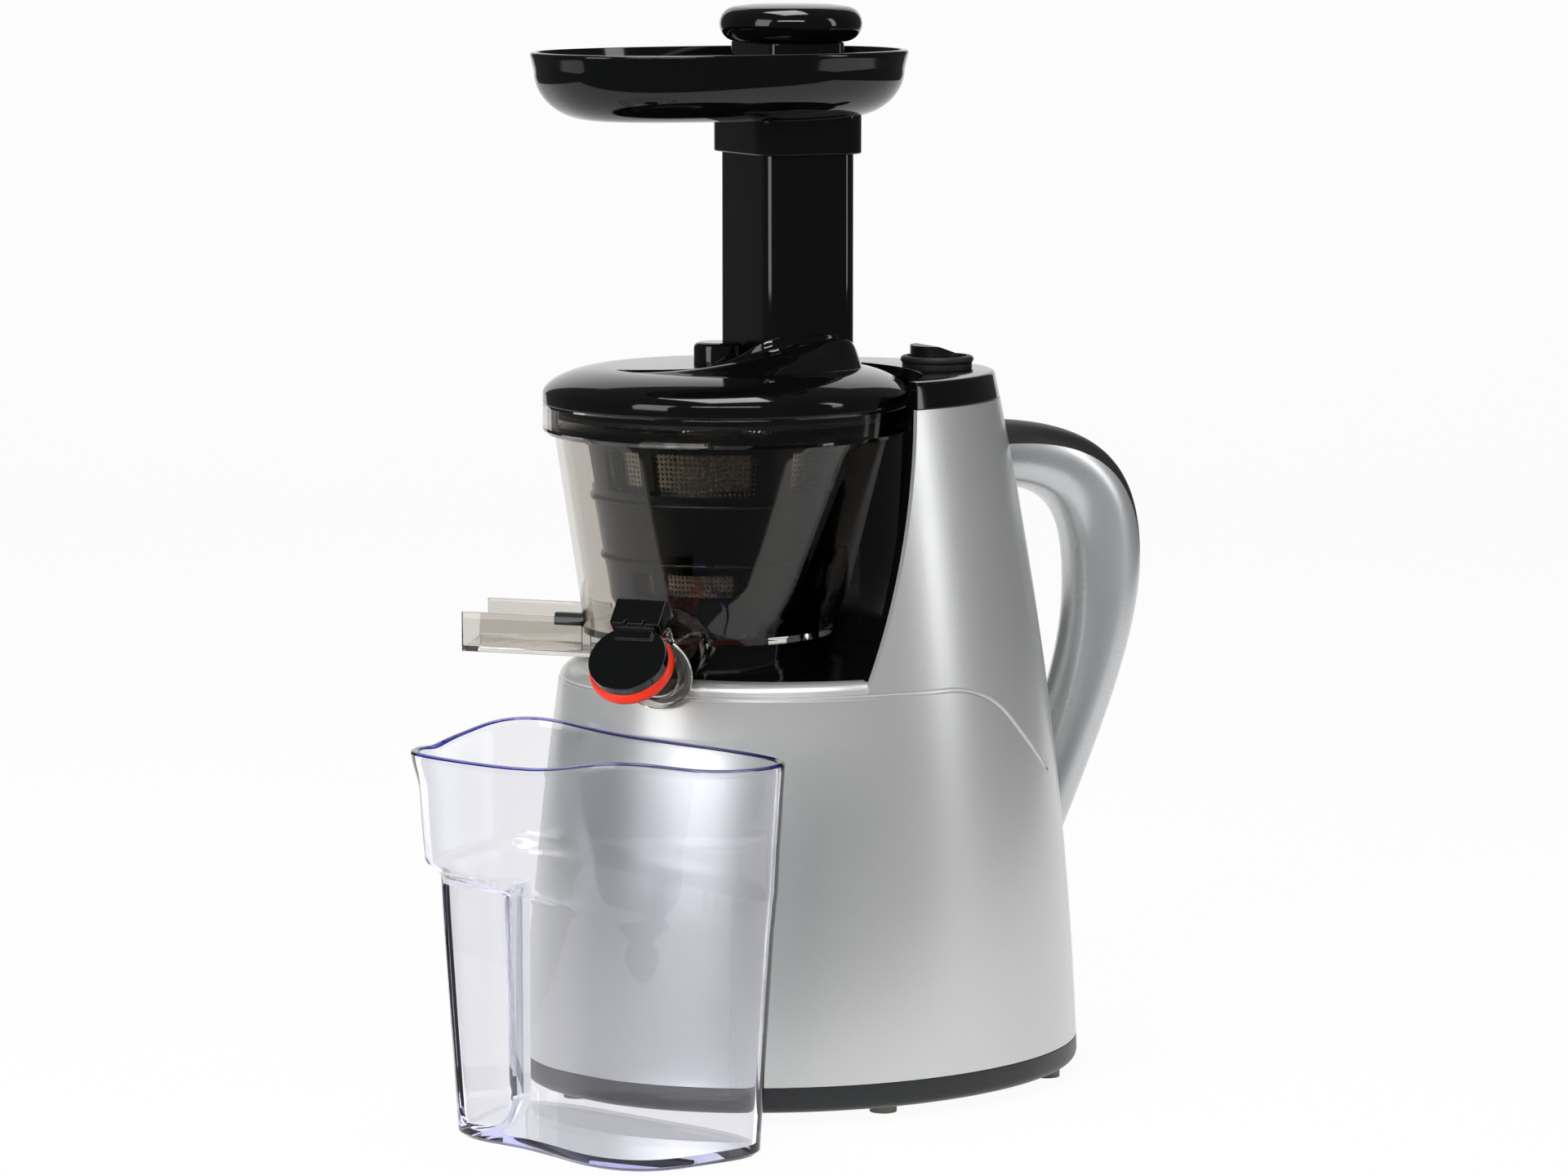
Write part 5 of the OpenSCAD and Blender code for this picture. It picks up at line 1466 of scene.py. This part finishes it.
KEPT: dict[str, Finish] = {
    "rubber_feet": GREY_RUBBER,
    "base_screws": STEEL,
    "switch_boot": BLACK_SILICONE,
    "switch_body": SATIN_BLACK,
    "rocker": SATIN_BLACK,
    "seat_plate": GLOSS_BLACK,
    "seat_ring": GLOSS_BLACK,
    "motor_can": CAN_PAINT,
    "gearbox_case": CASE_GREY,
    "output_bearing": BRONZE,
    "mount_plate": STEEL,
    "mount_pillars": CASE_GREY,
    "control_board": BOARD,
    "cord_gland": BLACK_SILICONE,
    "drive_shaft": STEEL,
    "shaft_seal": RED_SILICONE,
    "pulp_plug": BLACK_SILICONE,
    "strainer_frame": FRAME_BLACK,
    "brush_frame": FRAME_BLACK,
    "brush_wipers": BLACK_SILICONE,
    "idler_gear": IVORY,
    "idler_pin": STEEL,
    "auger_gear": IVORY,
    "spout_cap": GLOSS_BLACK,
    "spout_seal": RED_SILICONE,
    "spout_pin": STEEL,
    "lid_gasket": BLACK_SILICONE,
}


def dress_kept(nodes: dict[str, Object]) -> None:
    """Give each solid that keeps its shape its finish."""
    for name, finish in KEPT.items():
        finish.dress(nodes[name])
        LOG.info("%s: %s", name, finish.name)


# ---------------------------------------------------------------------------
# Studio
# ---------------------------------------------------------------------------


# Name, place, size and power of each lamp, and whether gloss surfaces reflect it.
LAMPS = (
    ("lamp_above", (0.0, -0.05, 1.9), (1.0, 0.8), 22, True),
    ("lamp_left", (0.6, -1.9, 0.9), (0.9, 1.4), 15, True),
    ("lamp_right", (1.35, 1.5, 0.9), (0.3, 1.4), 6, True),
    ("lamp_front", (1.75, -0.8, 1.45), (1.6, 0.15), 15, True),
    ("lamp_fill", (1.3, -1.6, 0.7), (1.0, 1.0), 24, False),
)


@dataclass
class Studio:
    """White sheet, soft lamps and the camera, in metres and watts."""

    eye: Point = (1.9486, -0.9056, 0.465)
    look: Point = (-0.89459, 0.42814, -0.12811)
    lens: float = 133.5
    aim: Point = (0, 0.02, 0.2)
    sheet_near: float = -0.36
    sheet_back: float = 1.9
    sheet_cove: float = 0.6
    sheet_top: float = 2.6
    sheet_half_w: float = 1.15
    sheet_drop: float = 0.0004
    sheet_turn: float = 65.0
    white_share: float = 0.95
    sky_level: float = 0.1

    def backdrop(self) -> None:
        """White table under the object and the white sheet that rises behind it, in one piece."""
        back, cove, half = self.sheet_back, self.sheet_cove, self.sheet_half_w
        path = [(self.sheet_near, 0.0), (0.0, 0.0)]
        path += turning(cove, -RIGHT_ANGLE, 0, 16, back, cove)
        path += [(back + cove, self.sheet_top)]
        points = [(x, y, z - self.sheet_drop) for x in (-half, half) for y, z in path]
        m = len(path)
        faces = [[i, m + i, m + i + 1, i + 1] for i in range(m - 1)]
        floor = make_object("studio_floor", points, faces)
        turned(floor, Matrix.Rotation(math.radians(self.sheet_turn), 4, "Z"))
        shade(floor, 60)
        mat, n, paint, out = new_material("studio_white")
        n.feed(paint, {"Base Color": (0.86, 0.86, 0.86, 1), "Roughness": 0.9, "Specular IOR Level": 0.0})
        glow = n.add("ShaderNodeEmission", {"Strength": 1.0})
        rays = n.add("ShaderNodeLightPath").outputs
        seen = n.math("MAXIMUM", rays["Is Camera Ray"], rays["Is Transmission Ray"])
        share = n.math("MULTIPLY", n.math("MAXIMUM", seen, rays["Is Glossy Ray"]), self.white_share)
        blend = n.add("ShaderNodeMixShader", {0: share, 1: paint.outputs[0], 2: glow.outputs[0]})
        n.feed(out, {"Surface": blend.outputs[0]})
        floor.data.materials.append(mat)

    def world(self) -> None:
        """Even, dim surroundings."""
        world = bpy.data.worlds.new("studio_world")
        bpy.context.scene.world = world
        world.use_nodes = True
        sky = next(node for node in world.node_tree.nodes if node.type == "BACKGROUND")
        Nodes(world.node_tree).feed(sky, {"Color": (0.96, 0.98, 1.0, 1), "Strength": self.sky_level})

    def add_seen(self, name: str, data: bpy.types.ID, place_at: Point, along: Vector) -> Object:
        """Put a lamp or a camera in the scene, looking along a line."""
        obj = bpy.data.objects.new(name, data)
        bpy.context.scene.collection.objects.link(obj)
        obj.location = place_at
        obj.rotation_euler = along.to_track_quat("-Z", "Y").to_euler()
        return obj

    def lamp(self, name: str, place_at: Point, size: tuple[float, float], power_w: float) -> Object:
        """Soft rectangular lamp aimed at the object."""
        data = bpy.data.lights.new(name, "AREA")
        data.shape = "RECTANGLE"
        data.size, data.size_y = size
        data.energy = power_w
        return self.add_seen(name, data, place_at, Vector(self.aim) - Vector(place_at))

    def camera(self) -> None:
        """Long lens from the front right, a little above the object."""
        data = bpy.data.cameras.new("camera")
        data.lens = self.lens
        data.sensor_width = 36.0
        data.clip_start, data.clip_end = 0.05, 30
        bpy.context.scene.camera = self.add_seen("camera", data, self.eye, Vector(self.look))

    def build(self) -> None:
        """Set up the view, the lights and the floor."""
        self.camera()
        self.backdrop()
        self.world()
        for name, place_at, size, power_w, glossy in LAMPS:
            self.lamp(name, place_at, size, power_w).visible_glossy = glossy
        bpy.context.scene.view_settings.view_transform = "Standard"


def main() -> None:
    logging.basicConfig(level=logging.INFO, format="%(name)s: %(message)s")
    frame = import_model()
    Studio().build()
    dress_kept(frame["nodes"])
    Housing().build()
    Bowl().build()
    PressingSet().build()
    Lid().build()
    Hopper().build()
    Jug().build()


if __name__ == "__main__":
    main()
